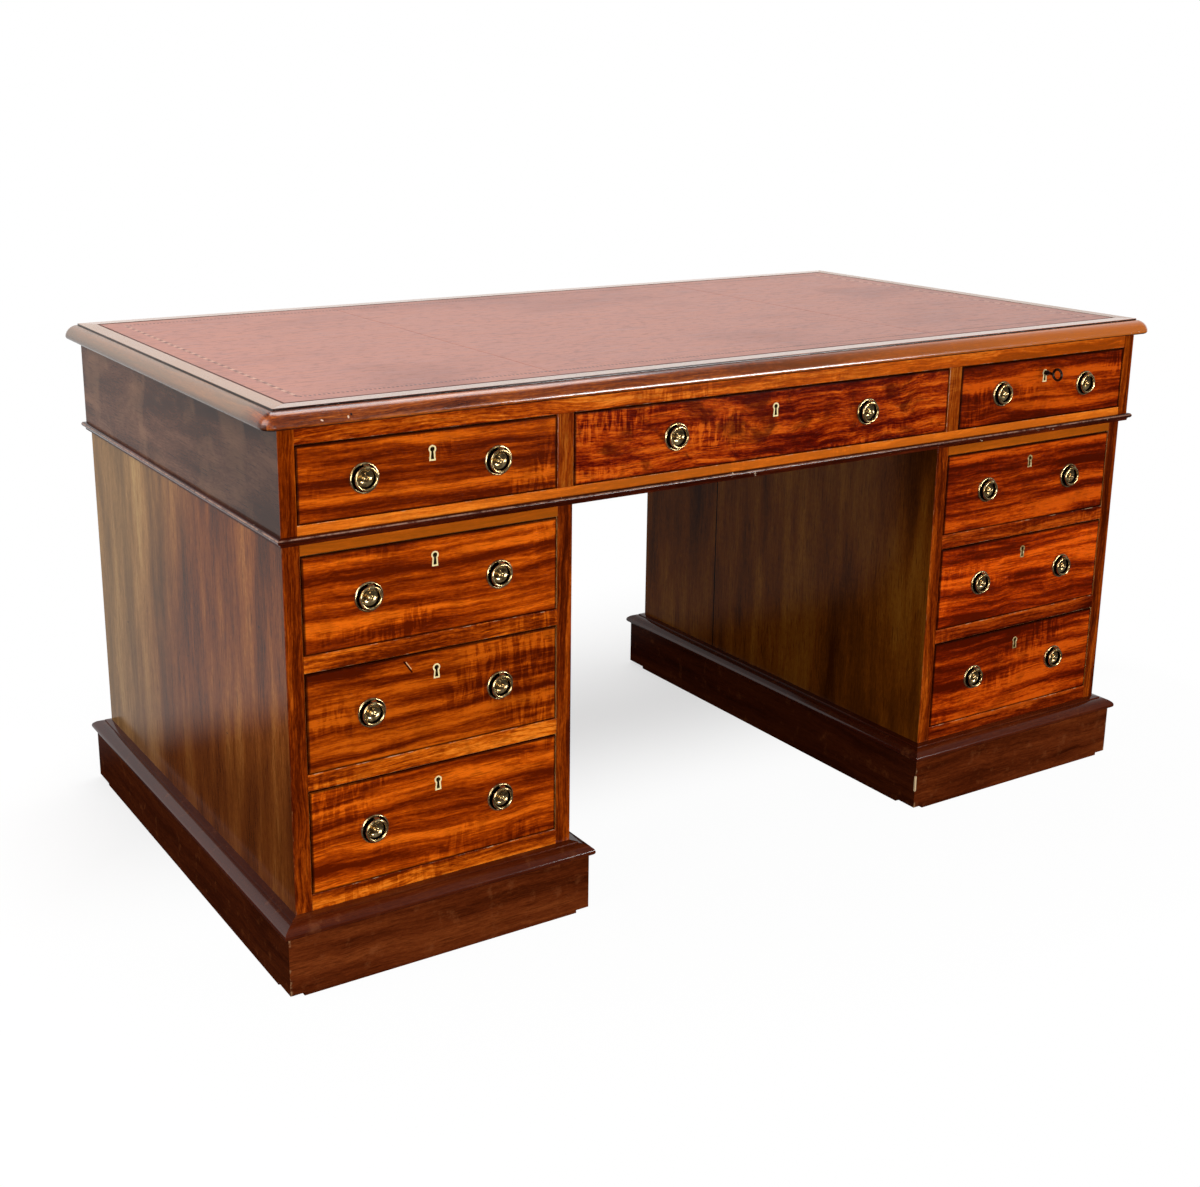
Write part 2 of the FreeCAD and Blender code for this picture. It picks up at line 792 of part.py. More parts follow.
def plinth_board_section(body):
    """Section of a plinth board."""
    section = Outline(body, "YZ_Plane", (0, 0))
    section.line(dims.plinth_board, 0)
    section.line(dims.plinth_board, dims.plinth_height)
    section.line(0, dims.plinth_height)
    return section.close()


def plinth_mould_section(body):
    """Section of the plinth moulding: a round nose, a thumb and a sloping band at the pedestal."""
    width = dims.plinth_projection + dims.mould_projection
    quirk = dims.mould_height - dims.mould_slope - dims.mould_quirk
    section = Outline(body, "YZ_Plane", (0, 0))
    section.line(width - dims.mould_nose, 0)
    section.arc(width, dims.mould_nose, rule="level_end")
    section.thumb(dims.mould_band, quirk, radius=dims.mould_radius)
    section.line(dims.mould_band, dims.mould_height - dims.mould_slope)
    section.line(0, dims.mould_height)
    return section.close()


def plinth_blocks(word, centre, half_length, half_depth):
    """Glue blocks in the four corners of a plinth, which the pedestal stands on."""
    blocks = []
    for x_side in (-1, 1):
        for y_side in (-1, 1):
            x = centre + mirrored(half_length - dims.plinth_block, dims.plinth_block, x_side)
            y = mirrored(half_depth - dims.plinth_block, dims.plinth_block, y_side)
            blocks.append(board(f"{word}_plinth_block", (x, y, plinth_low),
                                (dims.plinth_block, dims.plinth_block, dims.plinth_height)))
    return blocks


def plinth_shoes(word, centre, half_length, half_depth):
    """Thin strips under the plinth boards, short of the corners."""
    long_strip = 2 * (half_length - dims.shoe_corner)
    deep_strip = 2 * (half_depth - dims.shoe_corner)
    edge_x = half_length - dims.shoe_inset - dims.shoe_width
    edge_y = half_depth - dims.shoe_inset - dims.shoe_width
    shoes = []
    for side in (-1, 1):
        shoes.append(board(f"{word}_shoe_long", (centre - long_strip / 2,
                                                 mirrored(edge_y, dims.shoe_width, side), 0),
                           (long_strip, dims.shoe_width, dims.shoe_height)))
        middle = deep_strip - 2 * (dims.shoe_width + dims.shoe_inset)
        shoes.append(board(f"{word}_shoe_deep", (centre + mirrored(edge_x, dims.shoe_width, side),
                                                 -middle / 2, 0),
                           (dims.shoe_width, middle, dims.shoe_height)))
    return shoes


def plinth(word, side):
    """Boards, moulding, corner blocks and shoes of a plinth."""
    centre = side * pedestal_centre
    half_length = dims.pedestal_width / 2
    half_depth = pedestal_depth / 2
    outer_length = half_length + dims.plinth_projection
    outer_depth = half_depth + dims.plinth_projection
    inner_length = outer_length - dims.plinth_board
    inner_depth = outer_depth - dims.plinth_board
    boards = mitred_frame(f"{word}_plinth_board", centre, plinth_low, inner_length, inner_depth,
                          plinth_board_section, dims.plinth_board, dims.plinth_height)
    mouldings = mitred_frame(f"{word}_plinth_mould", centre, plinth_high, half_length, half_depth,
                             plinth_mould_section, dims.plinth_projection + dims.mould_projection,
                             dims.mould_height)
    blocks = plinth_blocks(word, centre, inner_length, inner_depth)
    shoes = plinth_shoes(word, centre, outer_length, outer_depth)
    node(f"{word}_plinth", boards + mouldings + blocks + shoes)


# Brass: pieces that every drawer has, made once about their own axis

def handle_plate():
    """A dished round plate with a raised rim, and the knuckle that the ring hangs in."""
    body = new_body("handle_plate")
    hole = dims.bolt_radius + dims.bolt_clearance
    rim_inner = dims.plate_radius - dims.rim_width
    section = Outline(body, "XY_Plane", (hole, 0))
    section.line(dims.plate_radius, 0)
    section.line(dims.plate_radius, dims.plate_edge)
    section.arc(dims.plate_radius - dims.rim_width / 2, dims.rim_height, rule="plumb_end")
    section.arc(rim_inner, dims.channel_floor, rule="plumb_start")
    section.line(dims.dish_radius, dims.channel_floor)
    section.arc(dims.dish_radius - dims.dish_rim, dims.dish_height, rule="plumb_end")
    section.arc(dims.boss_radius, dims.dish_floor, rule="plumb_end")
    section.line(hole, dims.dish_floor)
    turned(body, section.close())
    radius = dims.eye_bore + dims.eye_wall
    knuckle = Outline(body, "YZ_Plane", (dims.channel_floor / 2, dims.ring_radius - radius))
    knuckle.line(dims.ring_standoff, dims.ring_radius - radius)
    knuckle.arc(dims.ring_standoff + radius, dims.ring_radius, rule="level_end")
    knuckle.arc(dims.ring_standoff, dims.ring_radius + radius, rule="level_start")
    knuckle.line(dims.channel_floor / 2, dims.ring_radius + radius)
    pad(body, knuckle.close(), dims.eye_width)
    bore = body.newObject("PartDesign::SubtractiveCylinder", "knuckle_bore")
    bind(bore, Radius=dims.eye_bore, Height=dims.eye_width + 2 * dims.overrun)
    place(bore, -dims.eye_width / 2 - dims.overrun, dims.ring_standoff, dims.ring_radius, ALONG_X)
    return body


def handle_bolt():
    """The bolt through a handle plate, with a ball head that ends in a small tip."""
    body = new_body("handle_bolt")
    tail = -(dims.front_thickness + dims.nut_thickness + dims.bolt_tail)
    waist = (dims.dish_floor + dims.boss_height) / 2
    section = Outline(body, "XY_Plane", (0, tail))
    section.line(dims.bolt_radius, tail)
    section.line(dims.bolt_radius, dims.dish_floor)
    section.line(dims.boss_neck, dims.dish_floor)
    section.arc(dims.boss_radius, waist, rule="level_end")
    section.arc(dims.boss_tip, dims.boss_height - dims.boss_tip, rule="level_start")
    section.arc(0, dims.boss_height, rule="plumb_end")
    turned(body, section.close())
    return body


def handle_nut():
    """The nut on a handle bolt, inside the drawer."""
    block = doc.addObject("Part::Prism", "nut_block")
    block.Polygon = NUT_SIDES
    bind(block, Circumradius=dims.nut_radius, Height=dims.nut_thickness)
    hole = rod("nut_hole", dims.bolt_radius + dims.bolt_clearance / 2,
               dims.nut_thickness + 2 * dims.overrun, 0, 0, -dims.overrun)
    return cut("handle_nut", block, [hole])


def keyhole(name, growth, neck_growth, depth):
    """A solid of keyhole shape, grown or shrunk all round, from the front face inwards."""
    body = new_body(name)
    neck = dims.keyhole_neck + growth
    neck_drop = dims.keyhole_neck_drop + neck_growth
    foot = dims.keyhole_foot + growth
    foot_drop = dims.keyhole_foot_drop + growth
    section = Outline(body, "XZ_Plane", (-foot, -foot_drop))
    section.line(foot, -foot_drop)
    section.line(neck, -neck_drop)
    section.arc(0, dims.keyhole_head + growth, rule="plumb_end")
    section.arc(-neck, -neck_drop, rule="plumb_start")
    pad(body, section.close(), depth, way="One side", backwards=True)
    return body


def escutcheon(core):
    """The brass liner of a keyhole, let into the drawer front."""
    depth = dims.front_thickness - dims.lock_depth + dims.escutcheon_proud
    liner = keyhole("escutcheon_liner", as_size(0), as_size(0), depth)
    opening = copy_of(core, "escutcheon_opening", 0, -dims.overrun, 0)
    return cut("escutcheon", liner, [opening])


def lock_case(core):
    """A drawer lock's case about its key axis, open for the key and for the bolt."""
    depth = dims.lock_depth
    low = dims.key_drop - dims.lock_height
    half = dims.lock_width / 2
    wall = dims.lock_wall
    shell = board("lock_shell", (-half, 0, low), (dims.lock_width, depth, dims.lock_height))
    cavity = board("lock_cavity", (wall - half, wall, low + wall),
                   (dims.lock_width - 2 * wall, depth - 2 * wall, dims.lock_height - 2 * wall))
    slot_width = dims.bolt_width + 2 * dims.slot_clearance
    slot_depth = dims.bolt_thickness + 2 * dims.slot_clearance
    slot_low = (-slot_width / 2, (depth - slot_depth) / 2, dims.key_drop - wall - dims.overrun)
    slot = board("lock_slot", slot_low, (slot_width, slot_depth, wall + 2 * dims.overrun))
    opening = copy_of(core, "lock_opening", 0, -dims.overrun, 0)
    return cut("lock_case", shell, [cavity, slot, opening])


def brass_masters():
    """One of each brass piece, which the drawers hold copies of."""
    through_front = dims.front_thickness - dims.lock_depth + 2 * dims.overrun
    inward = -dims.escutcheon_wall
    core = keyhole("keyhole_core", inward, inward / 2, through_front)
    lock_core = keyhole("lock_core", inward, inward / 2, dims.lock_wall + 2 * dims.overrun)
    return SimpleNamespace(
        plate=handle_plate(),
        bolt=handle_bolt(),
        nut=handle_nut(),
        escutcheon=escutcheon(core),
        lock=lock_case(lock_core),
        socket=keyhole("escutcheon_socket", dims.escutcheon_clearance, as_size(0), through_front),
    )


# Drawers

class Drawer:
    """A drawer: dovetailed box, front, brass and ring bails, about the foot of its front face."""

    def __init__(self, name, centre, front, low, opening_width, opening_height, spacing):
        self.name = name
        self.x = centre
        self.y = front
        self.z = low + dims.drawer_seat_gap
        self.width = opening_width - 2 * dims.drawer_side_gap
        self.height = opening_height - dims.drawer_top_gap - dims.drawer_seat_gap
        self.side_height = self.height - dims.side_drop
        self.handle_z = self.z + self.height / 2
        self.handle_offset = spacing / 2
        self.key_z = self.z + self.height - dims.key_drop

    def board(self, word, low, extent):
        """A board of this drawer, placed from the foot of its front face."""
        x, y, z = low
        return board(f"{self.name}_{word}", (self.x + x, self.y + y, self.z + z), extent)

    def tails(self, word, side, y, length, low, height, tip_at_back):
        """The dovetails at one end of a drawer side."""
        pitch = height / TAIL_COUNT
        root = pitch * (TAIL_ROOT_SHARE / 2)
        tip = pitch * (TAIL_TIP_SHARE / 2)
        near, far = (root, tip) if tip_at_back else (tip, root)
        x = self.x + mirrored(self.width / 2 - dims.side_thickness, dims.side_thickness, side)
        result = []
        for number in range(TAIL_COUNT):
            tail = doc.addObject("Part::Wedge", f"{self.name}_{word}")
            bind(tail, Xmin=0, Xmax=dims.side_thickness, X2min=0, X2max=dims.side_thickness)
            bind(tail, Ymin=0, Ymax=length)
            bind(tail, Zmin=-near, Zmax=near, Z2min=-far, Z2max=far)
            place(tail, x, self.y + y, self.z + low + pitch * number + pitch / 2)
            result.append(tail)
        return result

    def front_tails(self, side):
        """The tails of one side that are lapped by the drawer front."""
        length = dims.front_thickness - dims.front_lap
        return self.tails("front_tail", side, dims.front_lap, length, as_size(0), self.side_height, False)

    def back_tails(self, side):
        """The tails of one side that show through the drawer back."""
        low = dims.bottom_rise + dims.bottom_thickness
        height = self.side_height - dims.back_drop - low
        start = drawer_length - dims.back_thickness
        return self.tails("back_tail", side, start, dims.back_thickness, low, height, True)

    def side(self, word, side):
        """One dovetailed drawer side, grooved for the bottom board."""
        x = mirrored(self.width / 2 - dims.side_thickness, dims.side_thickness, side)
        length = drawer_length - dims.back_thickness - dims.front_thickness
        plank = self.board(f"{word}_plank", (x, dims.front_thickness, 0),
                           (dims.side_thickness, length, self.side_height))
        heel = self.board(f"{word}_heel", (x, drawer_length - dims.back_thickness, 0),
                          (dims.side_thickness, dims.back_thickness, dims.bottom_rise))
        tails = self.front_tails(side) + self.back_tails(side)
        whole = fuse(f"{self.name}_{word}_whole", [plank, heel] + tails)
        groove_x = mirrored(self.width / 2 - dims.side_thickness - dims.overrun,
                            dims.overrun + dims.groove_depth, side)
        groove_y = dims.front_thickness - dims.groove_depth
        groove = self.board(f"{word}_groove", (groove_x, groove_y, dims.bottom_rise),
                            (dims.overrun + dims.groove_depth, drawer_length - groove_y + dims.overrun,
                             dims.bottom_thickness))
        return cut(f"{self.name}_{word}", whole, [groove])

    def back(self):
        """The drawer back, socketed for the tails of the sides, above the bottom board."""
        low = dims.bottom_rise + dims.bottom_thickness
        plank = self.board("back_plank", (-self.width / 2, drawer_length - dims.back_thickness, low),
                           (self.width, dims.back_thickness, self.side_height - dims.back_drop - low))
        return cut(f"{self.name}_back", plank, self.back_tails(-1) + self.back_tails(1))

    def bottom(self):
        """The bottom board, in the grooves of the sides and the front and under the back."""
        half = self.width / 2 - dims.side_thickness + dims.groove_depth - dims.groove_clearance
        y = dims.front_thickness - dims.groove_depth + dims.groove_clearance
        return self.board("bottom", (-half, y, dims.bottom_rise),
                          (2 * half, drawer_length - y, dims.bottom_thickness))

    def front(self, masters):
        """The drawer front, cut for tails, bottom board, lock, keyhole and handle bolts."""
        plank = eased_board(f"{self.name}_front_plank", (self.x - self.width / 2, self.y, self.z),
                            (self.width, dims.front_thickness, self.height), "xz")
        half = self.width / 2 - dims.side_thickness + dims.groove_depth
        groove_low = (-half, dims.front_thickness - dims.groove_depth, dims.bottom_rise)
        groove = self.board("front_groove", groove_low,
                            (2 * half, dims.groove_depth + dims.overrun, dims.bottom_thickness))
        lock_low = (-dims.lock_width / 2, dims.front_thickness - dims.lock_depth,
                    self.height - dims.lock_height)
        lock_extent = (dims.lock_width, dims.lock_depth + dims.overrun, dims.lock_height + dims.overrun)
        mortise = self.board("lock_mortise", lock_low, lock_extent)
        socket = copy_of(masters.socket, f"{self.name}_socket", self.x, self.y - dims.overrun, self.key_z)
        holes = [rod(f"{self.name}_bolt_hole", dims.bolt_radius + dims.bolt_clearance,
                     dims.front_thickness + 2 * dims.overrun, self.x + side * self.handle_offset,
                     self.y - dims.overrun, self.handle_z, ALONG_Y) for side in (-1, 1)]
        tools = self.front_tails(-1) + self.front_tails(1) + [groove, mortise, socket] + holes
        return cut(f"{self.name}_cut_front", plank, tools)

    def lock_bolt(self):
        """The lock's bolt, drawn back level with the top of the drawer front."""
        low = (-dims.bolt_width / 2, mortise_y - dims.bolt_thickness / 2, self.height - dims.bolt_height)
        return self.board("lock_bolt", low, (dims.bolt_width, dims.bolt_thickness, dims.bolt_height))

    def brass(self, masters):
        """Plates, bolts and nuts of the two handles, the escutcheon and the lock case."""
        pieces = []
        for word, side in (("left", -1), ("right", 1)):
            x = self.x + side * self.handle_offset
            for kind, master in (("plate", masters.plate), ("bolt", masters.bolt)):
                pieces.append(copy_of(master, f"{self.name}_{kind}_{word}", x, self.y, self.handle_z,
                                      FACING_FRONT))
            pieces.append(copy_of(masters.nut, f"{self.name}_nut_{word}", x, self.y + dims.front_thickness,
                                  self.handle_z, ALONG_Y))
        pieces.append(copy_of(masters.escutcheon, f"{self.name}_escutcheon", self.x,
                              self.y - dims.escutcheon_proud, self.key_z))
        pieces.append(copy_of(masters.lock, f"{self.name}_lock", self.x,
                              self.y + dims.front_thickness - dims.lock_depth, self.key_z))
        return pieces

    def bails(self):
        """The two ring bails, each hanging in its knuckle."""
        for word, side in (("left", -1), ("right", 1)):
            x = self.x + side * self.handle_offset
            bail = ring(f"{self.name}_{word}_ring", dims.ring_radius, dims.ring_wire, x,
                        self.y - dims.ring_standoff, self.handle_z, ALONG_Y)
            node(f"{self.name}_{word}_bail", [bail])

    def build(self, masters, keyed):
        """Make the nodes of this drawer; a keyed one has its lock bolt as a node of its own."""
        brass = self.brass(masters)
        bolt = self.lock_bolt()
        node(f"{self.name}_front", [self.front(masters)])
        node(f"{self.name}_box", [self.side("left_side", -1), self.side("right_side", 1), self.back(),
                                  self.bottom()])
        node(f"{self.name}_brassware", brass if keyed else brass + [bolt])
        if keyed:
            node(f"{self.name}_sliding_bolt", [bolt])
            node("drawer_key", [self.key()])
        self.bails()

    def key(self):
        """The key in the lock: a ring bow, a collared shank and a bit that hangs down in the lock."""
        tip = self.y + dims.front_thickness - dims.lock_wall - dims.bit_clearance
        bow_y = self.y - dims.key_stem - dims.bow_radius
        start = self.y - dims.key_stem - dims.bow_wire
        bow = ring("key_bow", dims.bow_radius - dims.bow_wire, dims.bow_wire, self.x, bow_y, self.key_z,
                   ALONG_X)
        shank = rod("key_shank", dims.key_shank, tip - start, self.x, start, self.key_z, ALONG_Y)
        collar = rod("key_collar", dims.collar_radius, dims.collar_width, self.x,
                     self.y - dims.collar_stand - dims.collar_width, self.key_z, ALONG_Y)
        bit = board("key_bit", (self.x - dims.bit_thickness / 2, tip - dims.bit_length,
                                self.key_z - dims.bit_reach),
                    (dims.bit_thickness, dims.bit_length, dims.bit_reach))
        return fuse("key_solid", [bow, shank, collar, bit])


def frieze_bays():
    """Name, centre and width of the three openings of the frieze."""
    return (
        ("frieze_left", -frieze_side_centre, frieze_side_opening),
        ("frieze_centre", as_size(0), dims.centre_opening),
        ("frieze_right", frieze_side_centre, frieze_side_opening),
    )


def all_drawers():
    """The nine drawers of the desk."""
    drawers = []
    for name, centre, opening in frieze_bays():
        spacing = dims.wide_handle_spacing if name == "frieze_centre" else dims.handle_spacing
        drawers.append(Drawer(f"{name}_drawer", centre, case_front, frieze_low, opening,
                              dims.frieze_opening, spacing))
    levels = (
        ("upper", upper_low, dims.upper_opening),
        ("middle", middle_low, dims.middle_opening),
        ("lower", lower_low, dims.lower_opening),
    )
    for word, side in (("left", -1), ("right", 1)):
        for level, low, opening_height in levels:
            drawers.append(Drawer(f"{word}_{level}_drawer", side * pedestal_centre, pedestal_front, low,
                                  pedestal_opening, opening_height, dims.handle_spacing))
    return drawers


# The whole desk

top()
upper_case_panels()
upper_case_front_frame()
upper_case_runners()
upper_case_bead()
for hand, hand_sign in (("left", -1), ("right", 1)):
    pedestal_case(hand, hand_sign)
    pedestal_drawer_frame(hand, hand_sign)
    plinth(hand, hand_sign)
brass_pieces = brass_masters()
for drawer in all_drawers():
    drawer.build(brass_pieces, keyed=drawer.name == "frieze_right_drawer")
doc.recompute()

faults = [item.Name for item in doc.Objects if {"Invalid", "Error"} & set(item.State)]
faults += [part.Label for part in nodes if part.Shape.isNull() or not part.Shape.isValid()]
if faults:
    raise RuntimeError(f"these objects failed: {', '.join(faults)}")

os.makedirs("parts", exist_ok=True)
for part in nodes:
    part.Shape.exportStep(f"parts/{part.Label}.step")
    print(part.Label, len(part.Shape.Solids), round(part.Shape.Volume))
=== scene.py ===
"""Looks of a mahogany pedestal desk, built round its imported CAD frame."""

import logging
import math
from dataclasses import dataclass
from enum import Enum
from typing import Sequence, Union

import bmesh
import bpy
from mathutils import Matrix, Vector, noise


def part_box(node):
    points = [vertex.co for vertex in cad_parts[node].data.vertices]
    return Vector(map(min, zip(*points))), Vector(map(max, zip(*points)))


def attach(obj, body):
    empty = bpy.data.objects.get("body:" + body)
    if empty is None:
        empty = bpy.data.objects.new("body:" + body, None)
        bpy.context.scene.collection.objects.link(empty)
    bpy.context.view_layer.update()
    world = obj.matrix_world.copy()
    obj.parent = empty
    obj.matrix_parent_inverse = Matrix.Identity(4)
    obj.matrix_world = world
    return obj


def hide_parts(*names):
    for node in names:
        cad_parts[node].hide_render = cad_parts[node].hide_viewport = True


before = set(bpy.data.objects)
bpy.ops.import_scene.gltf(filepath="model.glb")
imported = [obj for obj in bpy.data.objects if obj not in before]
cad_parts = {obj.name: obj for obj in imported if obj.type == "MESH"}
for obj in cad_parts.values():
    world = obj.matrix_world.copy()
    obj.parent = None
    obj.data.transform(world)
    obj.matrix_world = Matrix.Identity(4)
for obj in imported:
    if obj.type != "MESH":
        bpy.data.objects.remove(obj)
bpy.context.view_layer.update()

log = logging.getLogger("pedestal_desk")
logging.basicConfig(level=logging.INFO, format="%(name)s: %(message)s")

MM = 0.001
# Half the width of the soft edge between two woods
HAIR = 0.2 * MM
# How deep the mahogany facing of a rail is, on a core of pine
FACING = 12 * MM
# Where the five colours of a wood lie on its scale from dark to bright
TONE_STOPS = (0.36, 0.44, 0.5, 0.56, 0.64)
GRAIN_DEPTH = 0.12 * MM
COAT_ROUGHNESS = 0.14

Value = Union[float, "Signal"]
Triple = tuple[float, float, float]
Colour = tuple[float, float, float, float]


def tint(code: str) -> Colour:
    """A colour in linear light.

    Args:
        code: Six hexadecimal digits, as a paint chart gives them.

    Returns:
        Red, green, blue and a full alpha.
    """
    parts = [int(code[i:i + 2], 16) / 255 for i in (0, 2, 4)]
    linear = [c / 12.92 if c <= 0.04045 else ((c + 0.055) / 1.055) ** 2.4 for c in parts]
    return (linear[0], linear[1], linear[2], 1.0)


class Signal:
    """A node socket whose arithmetic adds Math nodes to its tree."""

    def __init__(self, bench: "Bench", socket: Union[bpy.types.NodeSocket, None]) -> None:
        """Wrap a socket of a bench's tree."""
        self.bench = bench
        self.socket = socket

    def math(self, operation: str, first: Value, second: Value = 0.0) -> "Signal":
        """Add a Math node.

        Args:
            operation: Blender's name of the operation.
            first: Its first input.
            second: Its second input.

        Returns:
            The node's result.
        """
        return self.bench.add("ShaderNodeMath", {"operation": operation}, {0: first, 1: second})

    def __add__(self, other: Value) -> "Signal":
        """This plus another."""
        return self.math("ADD", self, other)

    def __radd__(self, other: Value) -> "Signal":
        """Another plus this."""
        return self.math("ADD", other, self)

    def __sub__(self, other: Value) -> "Signal":
        """This minus another."""
        return self.math("SUBTRACT", self, other)

    def __rsub__(self, other: Value) -> "Signal":
        """Another minus this."""
        return self.math("SUBTRACT", other, self)

    def __mul__(self, other: Value) -> "Signal":
        """This times another."""
        return self.math("MULTIPLY", self, other)

    def __truediv__(self, other: Value) -> "Signal":
        """This over another."""
        return self.math("DIVIDE", self, other)

    def __abs__(self) -> "Signal":
        """This without its sign."""
        return self.math("ABSOLUTE", self)

    def least(self, other: Value) -> "Signal":
        """The smaller of this and another."""
        return self.math("MINIMUM", self, other)

    def most(self, other: Value) -> "Signal":
        """The larger of this and another."""
        return self.math("MAXIMUM", self, other)

    def root(self) -> "Signal":
        """The square root of this."""
        return self.math("SQRT", self)

    def rise(self, low: float, high: float) -> "Signal":
        """Ease from 0 at low to 1 at high; low may be the larger of the two.

        Args:
            low: Where the result is 0.
            high: Where the result is 1.

        Returns:
            The eased value, which stays within 0 and 1.
        """
        settings = {"interpolation_type": "SMOOTHSTEP", "clamp": True}
        return self.bench.add("ShaderNodeMapRange", settings, {0: self, 1: low, 2: high, 3: 0.0, 4: 1.0})


class Bench:
    """A node tree, from object coordinates to a shader."""

    def __init__(self, name: str, world: bool = False) -> None:
        """Start an empty material, or an empty world.

        Args:
            name: The material's name.
            world: Whether it is the world's tree, which reads the ray's direction.
        """
        holders = bpy.data.worlds if world else bpy.data.materials
        self.material = holders.new(name)
        self.material.use_nodes = True
        self.tree = self.material.node_tree
        self.tree.nodes.clear()
        self.place = self.add("ShaderNodeTexCoord", {}, {}, "Generated" if world else "Object")
        self.x, self.y, self.z = self.split(self.place)

    def add(self, kind: str, settings: dict, sockets: dict, out: Union[int, str] = 0) -> Signal:
        """Add any node.

        Args:
            kind: Blender's name of the node's type.
            settings: Its properties, and a ramp's stops, which are set first.
            sockets: Values or links of its inputs, by name or number.
            out: The output that is wanted.

        Returns:
            That output.
        """
        made = self.tree.nodes.new(kind)
        for name, value in settings.items():
            if name == "stops":
                self.set_stops(made.color_ramp, value)
            else:
                setattr(made, name, value)
        for key, value in sockets.items():
            if isinstance(value, Signal):
                self.tree.links.new(value.socket, made.inputs[key])
            else:
                made.inputs[key].default_value = value
        return Signal(self, made.outputs[out] if made.outputs else None)

    @staticmethod
    def set_stops(ramp: bpy.types.ColorRamp, stops: Sequence[tuple[float, Colour]]) -> None:
        """Give a colour ramp its stops.

        Args:
            ramp: The ramp.
            stops: Place and colour of each stop, in rising order.
        """
        while len(ramp.elements) < len(stops):
            ramp.elements.new(1.0)
        for element, (place, colour) in zip(ramp.elements, stops):
            element.position = place
            element.color = colour

    def split(self, vector: Signal) -> tuple[Signal, Signal, Signal]:
        """The three parts of a vector."""
        made = self.tree.nodes.new("ShaderNodeSeparateXYZ")
        self.tree.links.new(vector.socket, made.inputs[0])
        return tuple(Signal(self, socket) for socket in made.outputs)

    def join(self, x: Value, y: Value, z: Value) -> Signal:
        """A vector of three parts."""
        return self.add("ShaderNodeCombineXYZ", {}, {0: x, 1: y, 2: z})

    def scale(self, vector: Signal, factors: Triple, offset: Triple = (0.0, 0.0, 0.0)) -> Signal:
        """A vector times factors, moved by an offset."""
        settings = {"operation": "MULTIPLY_ADD"}
        return self.add("ShaderNodeVectorMath", settings, {0: vector, 1: factors, 2: offset})

    def plus(self, first: Signal, second: Signal) -> Signal:
        """The sum of two vectors."""
        return self.add("ShaderNodeVectorMath", {"operation": "ADD"}, {0: first, 1: second})

    def clouds(self, vector: Signal, detail: float = 2.0, rough: float = 0.5, bend: float = 0.0,
               out: str = "Fac") -> Signal:
        """Soft noise.

        Args:
            vector: Where it is read, already scaled.
            detail: Number of finer layers.
            rough: Weight of the finer layers.
            bend: How far the noise twists itself.
            out: Which output is read, Fac or Color.

        Returns:
            The noise, about 0.5 on average.
        """
        sockets = {"Vector": vector, "Scale": 1.0, "Detail": detail, "Roughness": rough, "Distortion": bend}
        return self.add("ShaderNodeTexNoise", {}, sockets, out)

    def ramp(self, value: Signal, stops: Sequence[tuple[float, Colour]]) -> Signal:
        """A colour for each value."""
        return self.add("ShaderNodeValToRGB", {"stops": stops}, {0: value})

    def blend(self, factor: Value, first: Union[Signal, Colour], second: Union[Signal, Colour],
              mode: str = "MIX") -> Signal:
        """A mix of two colours."""
        settings = {"data_type": "RGBA", "blend_type": mode, "clamp_factor": True}
        return self.add("ShaderNodeMix", settings, {0: factor, 6: first, 7: second}, 2)

    def blend_vectors(self, factor: Value, first: Signal, second: Signal) -> Signal:
        """A mix of two vectors."""
        return self.add("ShaderNodeMix", {"data_type": "VECTOR"}, {0: factor, 4: first, 5: second}, 1)

    def blend_values(self, factor: Value, first: Value, second: Value) -> Signal:
        """A mix of two numbers."""
        return self.add("ShaderNodeMix", {"data_type": "FLOAT"}, {0: factor, 2: first, 3: second}, 0)

    def relief(self, height: Signal, depth: float) -> Signal:
        """A bumped normal.

        Args:
            height: Height from 0 to 1.
            depth: What a height of 1 stands for, in metres.

        Returns:
            The normal for a shader.
        """
        return self.add("ShaderNodeBump", {}, {"Strength": 1.0, "Distance": depth, "Height": height})

    def shade(self, sockets: dict) -> bpy.types.Material:
        """End the tree in a Principled shader.

        Args:
            sockets: Values or links of the shader's inputs.

        Returns:
            The finished material.
        """
        shader = self.add("ShaderNodeBsdfPrincipled", {}, sockets)
        self.add("ShaderNodeOutputMaterial", {}, {"Surface": shader})
        return self.material


class Grain(Enum):
    """The axis that a board's grain runs along, with the two axes across it."""

    X = (0, 1, 2)
    Y = (1, 0, 2)
    Z = (2, 0, 1)


@dataclass(frozen=True)
class WoodTone:
    """The colours and figure of one choice of wood."""

    dark: str
    low: str
    middle: str
    high: str
    bright: str
    streak: float = 0.42
    contrast: float = 1.2
    ripple: float = 0.0
    mottle: float = 0.0
    mottle_colour: str = "2a0805"
    blot: float = 1.0
    waver: float = 0.02
    bands: float = 24.0
    pores: float = 0.3


